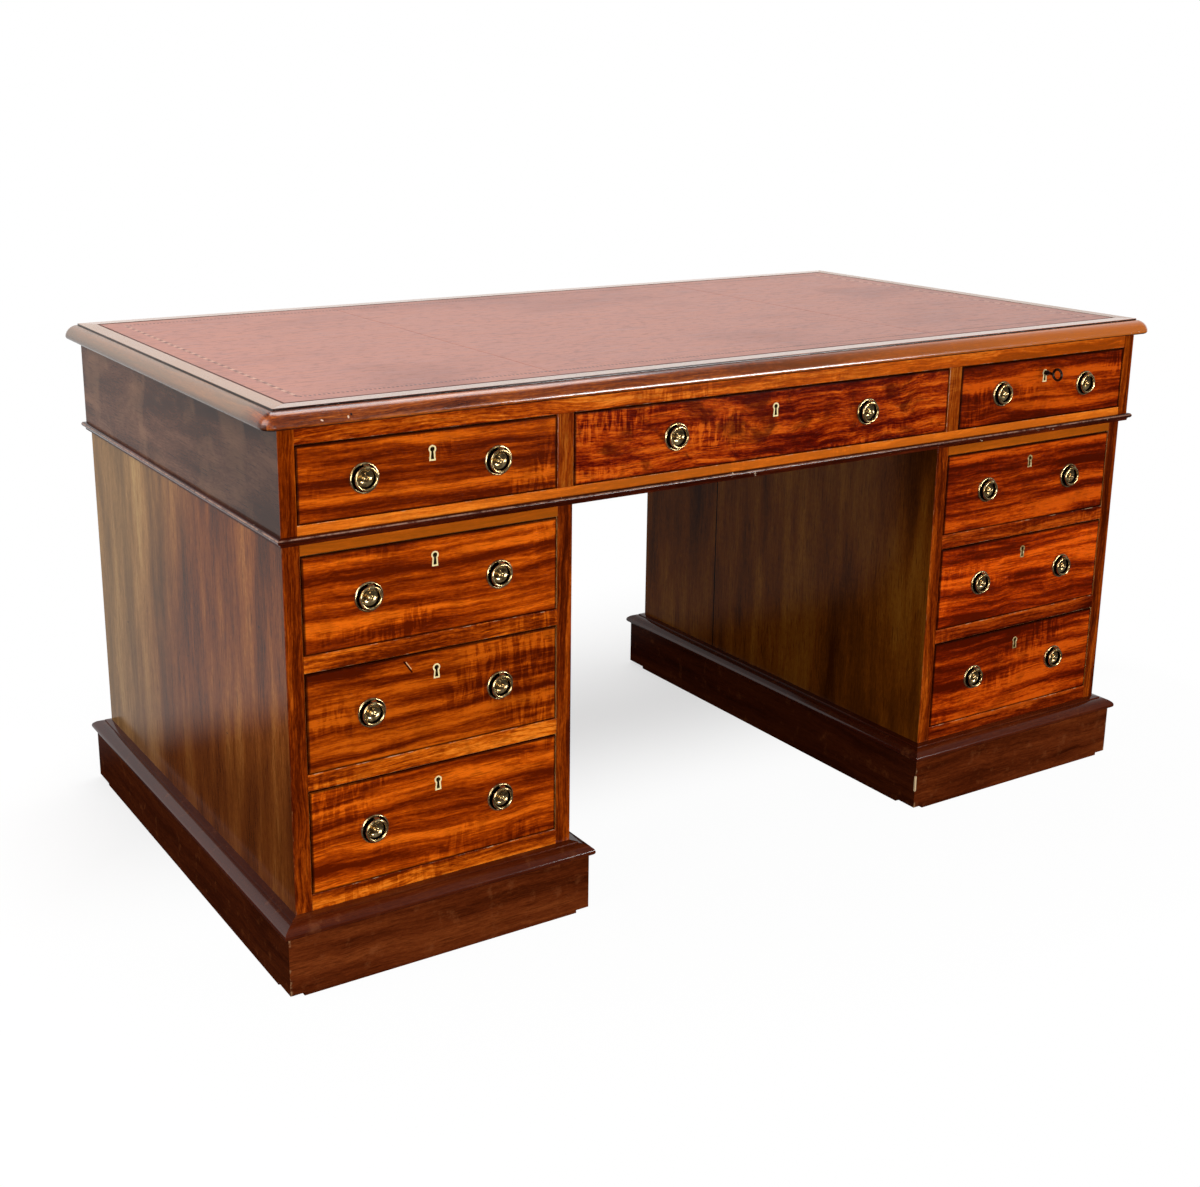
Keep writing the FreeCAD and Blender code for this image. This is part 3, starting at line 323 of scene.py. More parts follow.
class Wood:
    """The colour and relief of one piece of wood in a material."""

    def __init__(self, bench: Bench, tone: WoodTone, grain: Union[Grain, Signal], seed: float) -> None:
        """Lay out the figure.

        Args:
            bench: The material's tree.
            tone: Colours and figure.
            grain: The grain's axis, or a vector that already runs along the grain first.
            seed: Where in the log the piece is cut.
        """
        place = grain if isinstance(grain, Signal) else self.along(bench, grain)
        place = bench.scale(place, (1.0, 1.0, 1.0), (seed * 1.7, seed * 0.61, seed * 0.37))
        drift = bench.clouds(bench.scale(place, (2.3, 5.0, 5.0)), 2.0, out="Color")
        sway = bench.clouds(bench.scale(place, (13.0, 9.0, 9.0)), 1.0, out="Color")
        wavy = bench.plus(place, bench.scale(drift, (0.0, tone.waver * 2, tone.waver * 2)))
        wavy = bench.plus(wavy, bench.scale(sway, (0.0, tone.waver * 0.6, tone.waver * 0.6)))
        broad = bench.clouds(bench.scale(wavy, (2.2, tone.bands, tone.bands)), 2.0, 0.55)
        narrow = bench.clouds(bench.scale(wavy, (6.0, tone.bands * 4, tone.bands * 4)), 2.0, 0.6)
        fine = bench.clouds(bench.scale(wavy, (16.0, 700.0, 700.0)), 2.0, 0.6)
        share = 1.0 - tone.streak
        flecks = bench.clouds(bench.scale(wavy, (110.0, 420.0, 420.0), (1.0, 4.0, 2.0)), 3.0, 0.7)
        value = broad * tone.streak + narrow * (share * 0.4) + (fine + flecks) * (share * 0.3)
        value = (value - 0.5) * tone.contrast + 0.5
        if tone.ripple:
            bars = bench.clouds(bench.scale(wavy, (130.0, 26.0, 26.0)), 2.0, 0.6, 0.6)
            patch = bench.clouds(bench.scale(place, (6.0, 12.0, 12.0), (3.1, 1.3, 0.7)), 2.0)
            value = value + (bars.rise(0.4, 0.62) - 0.45) * patch.rise(0.52, 0.66) * tone.ripple
        codes = (tone.dark, tone.low, tone.middle, tone.high, tone.bright)
        self.colour = bench.ramp(value, [(spot, tint(code)) for spot, code in zip(TONE_STOPS, codes)])
        if tone.mottle:
            size = (17.0 * tone.blot, 24.0 * tone.blot, 24.0 * tone.blot)
            blots = bench.clouds(bench.scale(wavy, size, (7.0, 2.0, 5.0)), 4.0, 0.6, 0.7)
            mottle = blots.rise(0.48, 0.66) * tone.mottle
            self.colour = bench.blend(mottle, self.colour, tint(tone.mottle_colour))
        dashes = bench.clouds(bench.scale(place, (22.0, 430.0, 430.0)), 1.0).rise(0.6, 0.7)
        pores = bench.clouds(bench.scale(place, (70.0, 1500.0, 1500.0)), 1.0).rise(0.6, 0.7)
        self.colour = bench.blend(dashes.most(pores) * tone.pores, self.colour, tint(tone.dark))
        self.height = fine * 0.6 - pores * 0.5

    @staticmethod
    def along(bench: Bench, grain: Grain) -> Signal:
        """Object coordinates with the grain's axis first."""
        parts = (bench.x, bench.y, bench.z)
        return bench.join(*(parts[i] for i in grain.value))

    @classmethod
    def mitred(cls, bench: Bench, reach: tuple[float, float], middle: float = 0.0) -> tuple[Signal, Signal]:
        """The members and the grain of a mitred frame.

        Args:
            bench: The material's tree.
            reach: Half the frame's length and half its depth.
            middle: The frame's middle along x.

        Returns:
            A mask of the two end members, and a vector that runs along each member's grain first.
        """
        ends = ((reach[1] - abs(bench.y)) - (reach[0] - abs(bench.x - middle))).rise(-HAIR, HAIR)
        return ends, bench.blend_vectors(ends, cls.along(bench, Grain.X), cls.along(bench, Grain.Y))


FIERY = WoodTone("501300", "742401", "8c3202", "a94304", "d05e0c", streak=0.55, contrast=1.75, ripple=0.12,
                 mottle=0.3, mottle_colour="4a1100", waver=0.016, bands=46.0, pores=0.5)
RUDDY = WoodTone("4c0f00", "6c1901", "8a2802", "ac3a03", "d6560b", streak=0.55, contrast=1.85, ripple=0.12,
                 mottle=0.3, mottle_colour="440d00", waver=0.016, bands=46.0, pores=0.5)
FLAME = WoodTone("400600", "601001", "862602", "a83b05", "d05c10", streak=0.45, contrast=1.8, ripple=0.18,
                 mottle=0.8, mottle_colour="400600", waver=0.026, bands=40.0, pores=0.5)
RAIL = WoodTone("521600", "7c2c02", "a04305", "be590b", "da761c", streak=0.45, contrast=1.6, ripple=0.1,
                mottle=0.35, mottle_colour="521502", bands=60.0, pores=0.6)
GLOW = WoodTone("521300", "802a02", "a44205", "c2580c", "e07c22", streak=0.45, contrast=1.7, ripple=0.1,
                mottle=0.4, mottle_colour="561402", bands=60.0, pores=0.6)
DUSK = WoodTone("380900", "561501", "6e2002", "8a3004", "ae4a0c", streak=0.45, contrast=1.6, ripple=0.1,
                mottle=0.3, mottle_colour="3a0800", bands=60.0, pores=0.6)
STILE = WoodTone("380d00", "561a01", "6e2602", "883604", "a84e0e", streak=0.45, contrast=1.5, mottle=0.3,
                 mottle_colour="3a0a00", bands=60.0, pores=0.6)
# Paler, faded mahogany; on the pedestals' upper backs it also paints a sheen.
FADED_AND_SHEEN = WoodTone("604220", "74532a", "876134", "967040", "a88450", streak=0.5, waver=0.01, bands=12.0,
                    pores=0.6)
RICH = WoodTone("341402", "502408", "66320e", "7a4216", "925a26", streak=0.5, waver=0.01, bands=12.0,
                pores=0.7)
FRIEZE_END = WoodTone("241109", "34190d", "442414", "543222", "6c4834", streak=0.5, mottle=0.42,
                      mottle_colour="7c583e", blot=0.4, waver=0.03, bands=12.0, pores=0.5)
OLIVE = WoodTone("341401", "502603", "643104", "72400c", "845016", streak=0.5, waver=0.01, bands=12.0,
                 pores=0.7)
PLINTH = WoodTone("2e0d02", "401605", "501f09", "5c270d", "6e3414", streak=0.4, contrast=1.0, pores=0.5)
MOULDED = WoodTone("340e00", "501b02", "6c2b04", "883d08", "a65616", streak=0.45, contrast=1.4, ripple=0.06,
                   bands=50.0, pores=0.5)
BEAD = WoodTone("1a0501", "2a0902", "380e03", "481606", "60220a", streak=0.4, contrast=1.2, pores=0.3)
RAW = WoodTone("7a4a26", "94623a", "a87448", "b98658", "c89a6c", streak=0.5)
PINE = WoodTone("8a6030", "a67c48", "b98f5a", "c69e6a", "d2b080", streak=0.6, bands=30.0)
OAK = WoodTone("6e4c2a", "8c6840", "a07c52", "b08c60", "c09c70", streak=0.45, bands=34.0)


def cad(name: str) -> bpy.types.Object:
    """The object of a CAD node."""
    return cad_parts[name]


def dress(name: str, material: bpy.types.Material) -> None:
    """Give a CAD node its finish.

    Args:
        name: The node.
        material: Its finish.
    """
    for place in cad(name).material_slots:
        place.material = material
    log.info("dressed %s in %s", name, material.name)


class Polish(Enum):
    """How glossy a wood's finish is: roughness and specular level."""

    FRENCH = (0.2, 0.02)
    SHOWN = (0.2, 0.45)
    COATED = (0.3, 0.0)
    RAW = (0.6, 0.3)


@dataclass(frozen=True)
class Mark:
    """A scratch, or a small hole where both ends are the same."""

    start: Triple
    end: Triple
    reach: float
    code: str


class WoodFinish:
    """A wood material made of one or more woods, each where its mask is 1."""

    def __init__(self, name: str, polish: Polish) -> None:
        """Start a finish.

        Args:
            name: The material's name.
            polish: Its gloss.
        """
        self.bench = Bench(name)
        self.polish = polish
        self.colour: Union[Signal, None] = None
        self.height: Union[Signal, None] = None
        self.coat: Value = 0.0

    def lay(self, tone: WoodTone, grain: Union[Grain, Signal], seed: float,
            mask: Union[Signal, None] = None) -> "WoodFinish":
        """Add a wood over those before it.

        Args:
            tone: Its colours and figure.
            grain: Its grain.
            seed: Where in the log it is cut.
            mask: Where it shows; everywhere if left out.

        Returns:
            This finish.
        """
        wood = Wood(self.bench, tone, grain, seed)
        if mask is None or self.colour is None:
            self.colour, self.height = wood.colour, wood.height
        else:
            self.colour = self.bench.blend(mask, self.colour, wood.colour)
            self.height = self.bench.blend_values(mask, self.height, wood.height)
        return self

    def stain(self, mask: Value, code: str, mode: str = "MIX") -> "WoodFinish":
        """Colour the wood where a mask is 1."""
        self.colour = self.bench.blend(mask, self.colour, tint(code), mode)
        return self

    def mark(self, mark: Mark) -> "WoodFinish":
        """Show a scratch or a hole.

        Args:
            mark: Where it is and its colour.

        Returns:
            This finish.
        """
        run = Vector(mark.end) - Vector(mark.start)
        unit = tuple(run.normalized())
        kind = "ShaderNodeVectorMath"
        offset = self.bench.add(kind, {"operation": "SUBTRACT"}, {0: self.bench.place, 1: mark.start})
        along = self.bench.add(kind, {"operation": "DOT_PRODUCT"}, {0: offset, 1: unit}, "Value")
        along = along.most(0.0).least(run.length)
        nearest = self.bench.add(kind, {"operation": "SCALE"}, {0: unit, "Scale": along})
        reach = self.bench.add(kind, {"operation": "DISTANCE"}, {0: offset, 1: nearest}, "Value")
        return self.stain(reach.rise(mark.reach, mark.reach * 0.5), mark.code)

    def wear_and_glint(self, code: str) -> "WoodFinish":
        """Rub the rounded arrises paler and glossier; the paler colour is real wear and also a painted
        highlight along them.
        """
        bench = self.bench
        facing = bench.split(bench.add("ShaderNodeTexCoord", {}, {}, "Normal"))
        flat = abs(facing[0]).most(abs(facing[1])).most(abs(facing[2]))
        arris = (1.0 - flat).rise(0.02, 0.12)
        rubs = bench.clouds(bench.scale(bench.place, (60.0, 60.0, 60.0)), 4.0, 0.65)
        # Real wear and painted highlight: pale patches along the rounded arrises.
        self.stain(arris * rubs.rise(0.5, 0.7) * 0.6, code)
        self.coat = (arris * 0.8).most(self.coat)
        return self

    def done(self) -> bpy.types.Material:
        """The finished material, with smears in its polish."""
        rough, level = self.polish.value
        smear = self.bench.clouds(self.bench.scale(self.bench.place, (9.0, 9.0, 9.0)), 3.0)
        roughness = smear * 0.16 + (rough - 0.08)
        return self.bench.shade({
            "Base Color": self.colour,
            "Roughness": roughness,
            "Specular IOR Level": level,
            "Coat Weight": self.coat,
            "Coat Roughness": COAT_ROUGHNESS,
            "Normal": self.bench.relief(self.height, GRAIN_DEPTH),
        })


@dataclass(frozen=True)
class Brass:
    """Aged brass: worn bright on what stands proud, black in the hollows of the handle plates."""

    name: str
    worn: str = "ecd29c"
    dull: str = "8a6632"
    dirt: str = "060302"
    liner: str = "f0dca0"
    rim: tuple[float, float] = (17.6 * MM, 19 * MM)
    dish: tuple[float, float] = (12.2 * MM, 11.2 * MM)
    proud: tuple[float, float] = (4.5 * MM, 5.5 * MM)
    keyhole: tuple[float, float] = (21 * MM, 19 * MM)

    def make(self, front: float, left: Vector, right: Vector) -> bpy.types.Material:
        """Mix the finish.

        Args:
            front: Where the drawer's face is along y.
            left: The middle of the left handle.
            right: The middle of the right handle.

        Returns:
            The material.
        """
        bench = Bench(self.name)
        spots = bench.clouds(bench.scale(bench.place, (160.0, 160.0, 160.0)), 3.0, 0.6)
        across = abs(bench.x - (left.x + right.x) / 2)
        aside = across - (right.x - left.x) / 2
        lift = bench.z - left.z
        radius = (aside * aside + lift * lift).root()
        stand = front - bench.y
        shown = stand.rise(*self.proud).most(radius.rise(*self.rim))
        shown = shown.most(radius.rise(*self.dish) * 0.7)
        metal = bench.blend(spots.rise(0.25, 0.7), tint(self.dull), tint(self.worn))
        colour = bench.blend(shown, tint(self.dirt), metal)
        keyhole = across.rise(*self.keyhole) * stand.rise(-0.8 * MM, -HAIR)
        liner = bench.blend(spots.rise(0.4, 0.7), tint(self.liner), tint(self.worn))
        return bench.shade({
            "Base Color": bench.blend(keyhole, colour, liner),
            "Metallic": 0.94 - keyhole * 0.85,
            "Roughness": spots * 0.2 + 0.08,
            "Normal": bench.relief(spots, 0.00003),
        })


def iron() -> bpy.types.Material:
    """Dark iron of the key, pitted and rubbed."""
    bench = Bench("pitted_iron")
    pits = bench.clouds(bench.scale(bench.place, (420.0, 420.0, 420.0)), 3.0, 0.65)
    colour = bench.blend(pits.rise(0.4, 0.65), tint("16120f"), tint("4a423b"))
    return bench.shade({
        "Base Color": colour,
        "Metallic": 1.0,
        "Roughness": pits * 0.3 + 0.25,
        "Normal": bench.relief(pits, 0.0002),
    })


@dataclass(frozen=True)
class LeatherFinish:
    """Old rose-red leather with fine streaks along its length."""

    name: str
    base: str = "a05846"
    pale: str = "b87a66"
    dark: str = "763a2e"
    rubbed: float = 6 * MM
    line_x: tuple[float, float] = (5 * MM, 2.5 * MM)
    line_y: tuple[float, float] = (7 * MM, 4 * MM)
    line_code: str = "2a100c"

    def make(self, edge_x: float, edge_y: float) -> bpy.types.Material:
        """Mix the finish.

        Args:
            edge_x: Half the length of the leather.
            edge_y: Half its depth.

        Returns:
            The material.
        """
        bench = Bench(self.name)
        drift = bench.clouds(bench.scale(bench.place, (6.0, 9.0, 1.0)), 2.0, out="Color")
        wavy = bench.plus(bench.place, bench.scale(drift, (0.0, 0.02, 0.0)))
        streaks = bench.clouds(bench.scale(wavy, (14.0, 170.0, 1.0)), 5.0, 0.72)
        creases = bench.clouds(bench.scale(wavy, (16.0, 260.0, 1.0), (4.0, 2.0, 0.0)), 2.0).rise(0.6, 0.72)
        blooms = bench.clouds(bench.scale(bench.place, (3.0, 5.0, 1.0)), 3.0, 0.5, 0.5)
        pebble = bench.clouds(bench.scale(bench.place, (900.0, 900.0, 900.0)), 2.0)
        colour = bench.blend(streaks.rise(0.3, 0.7), tint(self.base), tint(self.pale))
        colour = bench.blend(creases * 0.7, colour, tint(self.dark))
        colour = bench.blend(blooms.rise(0.5, 0.75) * 0.4, colour, tint(self.dark))
        mottle = bench.clouds(bench.scale(bench.place, (60.0, 140.0, 1.0), (2.0, 5.0, 0.0)), 4.0, 0.7)
        colour = bench.blend(mottle.rise(0.5, 0.66) * 0.6, colour, tint(self.dark))
        in_x, in_y = edge_x - abs(bench.x), edge_y - abs(bench.y)
        colour = bench.blend(in_x.least(in_y).rise(self.rubbed, 0.0) * 0.6, colour, tint(self.dark))
        line = in_x.rise(*self.line_x).most(in_y.rise(*self.line_y))
        colour = bench.blend(line * 0.85, colour, tint(self.line_code))
        return bench.shade({
            "Base Color": colour,
            "Roughness": (streaks * 0.5 + 0.15).most(line),
            "Specular IOR Level": 0.42,
            "Normal": bench.relief(pebble + streaks, 0.0001),
        })


@dataclass(frozen=True)
class Lamp:
    """A rectangular studio lamp."""

    name: str
    place: Triple
    aim: Triple
    size: tuple[float, float]
    power: float

    def build(self) -> None:
        """Hang the lamp."""
        data = bpy.data.lights.new(self.name, "AREA")
        data.shape = "RECTANGLE"
        data.size, data.size_y = self.size
        data.energy = self.power
        lamp = bpy.data.objects.new(self.name, data)
        turn = (Vector(self.aim) - Vector(self.place)).to_track_quat("-Z", "Y")
        lamp.matrix_world = Matrix.Translation(self.place) @ turn.to_matrix().to_4x4()
        lamp.visible_camera = False
        bpy.context.scene.collection.objects.link(lamp)


@dataclass
class Studio:
    """The camera, lamps, floor and background."""

    eye: Triple = (-1.47936, -2.17982, 1.15383)
    ahead: Triple = (0.51296, 0.81728, -0.26252)
    right: Triple = (0.84791, -0.53010, 0.00651)
    focal: float = 48.94
    sensor: float = 36.0
    shift: tuple[float, float] = (0.0329, -0.0599)
    floor_radius: float = 30.0
    footprint: tuple[float, float] = (0.78, 0.42)
    shadow_reach: tuple[float, float] = (-0.1, 0.5)
    lamps: tuple[Lamp, ...] = (
        Lamp("key_lamp", (1.93, -3.2, 0.68), (0.0, -0.3, 0.5), (1.2, 0.4), 56.0),
        Lamp("fill_lamp", (-1.5, -3.0, 0.42), (0.0, -0.3, 0.42), (1.5, 0.7), 46.0),
        Lamp("left_lamp", (-2.3, -0.4, 1.7), (-0.5, 0.1, 0.4), (1.6, 1.4), 42.0),
        Lamp("top_lamp", (0.3, 0.6, 2.9), (0.1, 0.0, 0.6), (2.0, 1.4), 37.0),
    )
    ambient: float = 0.4
    pale: float = 0.92
    dim: float = 0.2
    dark: float = 0.04
    sky: float = 0.2
    glow: float = 0.6
    front_glow: float = 0.92
    front_fade: tuple[float, float] = (0.25, -0.2)
    back_fade: tuple[float, float] = (0.42, 0.66)

    def camera(self) -> None:
        """Set up the camera at the picture's viewing angle."""
        data = bpy.data.cameras.new("camera")
        data.sensor_fit = "HORIZONTAL"
        data.sensor_width = self.sensor
        data.lens = self.focal
        data.shift_x, data.shift_y = self.shift
        data.clip_end = 200.0
        ahead = Vector(self.ahead).normalized()
        right = Vector(self.right).normalized()
        up = right.cross(ahead)
        turn = Matrix((right, up, -ahead)).transposed()
        holder = bpy.data.objects.new("camera", data)
        holder.matrix_world = Matrix.Translation(self.eye) @ turn.to_4x4()
        bpy.context.scene.collection.objects.link(holder)
        bpy.context.scene.camera = holder

    @staticmethod
    def rays(bench: Bench) -> tuple[Signal, Signal]:
        """1 for rays from the camera, and 1 for rays from gloss and through glass."""
        kinds = [bench.add("ShaderNodeLightPath", {}, {}, name)
                 for name in ("Is Camera Ray", "Is Glossy Ray", "Is Transmission Ray")]
        return kinds[0], kinds[1].most(kinds[2])

    def floor(self) -> None:
        """Lay a pale floor that keeps the desk's shadow."""
        mesh = bpy.data.meshes.new("floor")
        shape = bmesh.new()
        bmesh.ops.create_circle(shape, cap_ends=True, segments=96, radius=self.floor_radius)
        shape.to_mesh(mesh)
        shape.free()
        plane = bpy.data.objects.new("floor", mesh)
        bpy.context.scene.collection.objects.link(plane)
        bench = Bench("pale_floor")
        camera, gloss = self.rays(bench)
        pale, dim, dark = ((level, level, level, 1.0) for level in (self.pale, self.dim, self.dark))
        shown = bench.blend(camera, bench.blend(gloss, dim, dark), pale)
        matt = bench.add("ShaderNodeBsdfDiffuse", {}, {"Color": shown})
        glow = bench.add("ShaderNodeEmission", {}, {"Color": (1.0, 1.0, 1.0, 1.0), "Strength": 1.0})
        away = (abs(bench.x) - self.footprint[0]).most(abs(bench.y) - self.footprint[1])
        away = away.rise(*self.shadow_reach).most(bench.y.rise(*self.front_fade) * self.front_glow)
        share = camera * (self.glow + away * (1.0 - self.glow))
        share = share.most(gloss * bench.y.rise(*self.back_fade))
        lit = bench.add("ShaderNodeMixShader", {}, {0: share, 1: matt, 2: glow})
        bench.add("ShaderNodeOutputMaterial", {}, {"Surface": lit})
        mesh.materials.append(bench.material)

    def background(self) -> None:
        """A white background, dimmer behind the camera, that lights the desk softly."""
        bench = Bench("studio", world=True)
        bpy.context.scene.world = bench.material
        camera, gloss = self.rays(bench)
        behind = bench.y.rise(-0.3, 0.2) * bench.z.rise(0.8, 0.45) * (1.0 - self.sky) + self.sky
        level = camera.most(gloss * behind).most((1.0 - gloss) * self.ambient)
        sky = bench.add("ShaderNodeBackground", {}, {"Color": (1.0, 1.0, 1.0, 1.0), "Strength": level})
        bench.add("ShaderNodeOutputWorld", {}, {"Surface": sky})

    def build(self) -> None:
        """Set up the whole studio."""
        self.camera()
        self.floor()
        self.background()
        for lamp in self.lamps:
            lamp.build()
        bpy.context.scene.view_settings.view_transform = "Standard"
        log.info("studio set up with %d lamps", len(self.lamps))


@dataclass
class WritingLeather:
    """Three hides of leather on the top, pressed down at edges and seams, with a tooled border."""

    node: str = "leather_writing_surface"
    seam: float = 345 * MM
    gap: float = 0.1 * MM
    cell: float = 14 * MM
    swell: float = 0.25 * MM
    press: float = 0.15 * MM
    rim: float = 2.2 * MM
    border: float = 34 * MM
    pitch: float = 6.3 * MM
    dash: tuple[float, float] = (1.9 * MM, 3.2 * MM)
    dash_wall: float = 0.4 * MM
    dash_rise: float = 0.15 * MM
    dash_sink: float = 0.05 * MM
    shade_and_highlight_run: int = 4

    def __post_init__(self) -> None:
        """Take the leather's place from the frame."""
        self.low, self.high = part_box(self.node)

    def height(self, x: float, y: float) -> float:
        """How high the leather lies at a place."""
        return self.high.z - self.swell + self.swell * noise.noise(Vector((x * 9, y * 13, 0.5)))

    def hides(self) -> bpy.types.Object:
        """Model the three hides.

        Returns:
            The piece.
        """
        shape = bmesh.new()
        cuts = (self.low.x, -self.seam, self.seam, self.high.x)
        deep = self.high.y - self.low.y
        for first, last in zip(cuts, cuts[1:]):
            wide = last - first - self.gap
            made = bmesh.ops.create_grid(shape, x_segments=round(wide / self.cell),
                                         y_segments=round(deep / self.cell), size=0.5)
            bmesh.ops.scale(shape, vec=(wide, deep, 1.0), verts=made["verts"])
            bmesh.ops.translate(shape, vec=((first + last) / 2, 0.0, self.high.z), verts=made["verts"])
        bmesh.ops.inset_region(shape, faces=shape.faces[:], thickness=self.rim, use_boundary=True,
                               use_even_offset=True)
        rims = [edge for edge in shape.edges if edge.is_boundary]
        for vert in shape.verts:
            vert.co.z = self.height(vert.co.x, vert.co.y) - self.press * vert.is_boundary
        walls = bmesh.ops.extrude_edge_only(shape, edges=rims)["geom"]
        for vert in walls:
            if isinstance(vert, bmesh.types.BMVert):
                vert.co.z = self.low.z
        bmesh.ops.recalc_face_normals(shape, faces=shape.faces[:])
        return self.piece("leather_hides", shape)

    def tooling(self) -> bpy.types.Object:
        """Model the row of small tooled marks inside the edge.

        Returns:
            The piece.
        """
        shape = bmesh.new()
        made = bmesh.ops.create_circle(shape, cap_ends=True, segments=8, radius=1.0)
        bmesh.ops.scale(shape, vec=(self.dash[0], self.dash[1], 1.0), verts=made["verts"])
        bmesh.ops.inset_region(shape, faces=shape.faces[:], thickness=self.dash_wall, use_boundary=True,
                               depth=self.dash_rise)
        mark = shape.verts[:] + shape.edges[:] + shape.faces[:]
        for number, (x, y, turn) in enumerate(self.row()):
            copied = bmesh.ops.duplicate(shape, geom=mark)["geom"]
            verts = [item for item in copied if isinstance(item, bmesh.types.BMVert)]
            for face in (item for item in copied if isinstance(item, bmesh.types.BMFace)):
                # Runs of side marks alternate between the dark finish, painted shade, and the pale one,
                # painted highlight.
                face.material_index = number // self.shade_and_highlight_run % 2 if turn else 0
            place = Matrix.Translation((x, y, self.height(x, y) - self.dash_sink))
            bmesh.ops.transform(shape, matrix=place @ Matrix.Rotation(turn, 4, "Z"), verts=verts)
        bmesh.ops.delete(shape, geom=[item for item in mark if isinstance(item, bmesh.types.BMVert)])
        bmesh.ops.recalc_face_normals(shape, faces=shape.faces[:])
        return self.piece("leather_tooling", shape)

    def row(self) -> list[Triple]:
        """Place and turn of each tooled mark, along the four sides."""
        half_x, half_y = self.high.x - self.border, self.high.y - self.border
        marks: list[Triple] = []
        for half, other, turn in ((half_x, half_y, 0.0), (half_y, half_x, math.pi / 2)):
            count = round(2 * half / self.pitch)
            for step in range(count):
                along = -half + 2 * half * (step + 0.5) / count
                for side in (-other, other):
                    marks.append((along, side, turn) if turn == 0.0 else (side, along, turn))
        return marks

    def piece(self, name: str, shape: bmesh.types.BMesh) -> bpy.types.Object:
        """Make a piece of a finished shape and let it ride on the carcase."""
        mesh = bpy.data.meshes.new(name)
        for face in shape.faces:
            face.smooth = True
        shape.to_mesh(mesh)
        shape.free()
        made = bpy.data.objects.new(name, mesh)
        bpy.context.scene.collection.objects.link(made)
        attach(made, "carcase")
        log.info("modelled %s with %d faces", name, len(mesh.polygons))
        return made

    def build(self) -> None:
        """Model and dress the leather."""
        hides = self.hides()
        hides.data.materials.append(LeatherFinish("rose_leather").make(self.high.x, self.high.y))
        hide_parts(self.node)
        marks = self.tooling()
        # Dark tooled marks are painted shade in the impressions; pale ones are painted highlight.
        for finish in (LeatherFinish("tooled_leather", "3a1610", "54281e", "240c08"),
                       LeatherFinish("highlit_tooled_leather", "c89c82", "dab8a0", "a8785e")):
            marks.data.materials.append(finish.make(self.high.x, self.high.y))


@dataclass
class Top:
    """The moulded frame of the top and the board inside it."""

    thumb: float = 19.5 * MM
    nicks: tuple[Mark, ...] = (
        Mark((-0.7096, -0.417, 0.7593), (-0.7080, -0.417, 0.7585), 1.3 * MM, "d8b898"),
        Mark((-0.6744, -0.417, 0.7605), (-0.6744, -0.417, 0.7590), 1.5 * MM, "d8b898"),
        Mark((-0.6700, -0.416, 0.7625), (-0.6700, -0.416, 0.7625), 2.0 * MM, "1a0702"),
    )

    def dress(self) -> None:
        """Give the top its finishes."""
        low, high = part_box("top_frame")
        finish = WoodFinish("top_frame_wood", Polish.SHOWN)
        bench = finish.bench
        ends, vector = Wood.mitred(bench, (high.x, high.y))
        finish.lay(MOULDED, vector, 3.0)
        edge = (high.x - abs(bench.x)).least(high.y - abs(bench.y))
        rubs = bench.clouds(bench.scale(bench.place, (30.0, 30.0, 30.0)), 4.0, 0.65)
        # Painted light: the front members are painted brighter towards the right.
        finish.stain((1.0 - ends) * bench.x.rise(-0.3, 0.7) * 0.8, "c0661a")
        # Painted reflection: the end members are painted pale greyish tan, the sheen of the bright
        # background.
        finish.stain(ends * bench.y.rise(high.y * -1.0, -0.32) * 0.75, "7e6650")
        # Painted shade: the end members darken towards their underside.
        finish.stain(ends * bench.z.rise(low.z + 0.013, low.z + 0.003) * 0.6, "2c1a10")
        # Painted reflection: the flat band inside the thumb is painted paler.
        finish.stain(edge.rise(self.thumb, self.thumb + 0.0004) * 0.75, "b08668")
        finish.stain(rubs.rise(0.62, 0.74) * 0.25, "8a5426")
        # Dirt and painted shade in the quirk between the band and the thumb.
        quirk = edge.rise(self.thumb - 0.002, self.thumb - 0.0006)
        finish.stain(quirk * bench.z.rise(high.z - 0.0003, high.z - 0.0008), "140603")
        # Painted shade: a dark line along the foot of the thumb.
        finish.stain(bench.z.rise(low.z + 0.0032, low.z + 0.0012), "140502")
        for nick in self.nicks:
            finish.mark(nick)
        finish.coat = (1.0 - ends) * 0.6
        dress("top_frame", finish.done())
        dress("top_field_board", WoodFinish("field_pine", Polish.RAW).lay(PINE, Grain.X, 5.0).done())


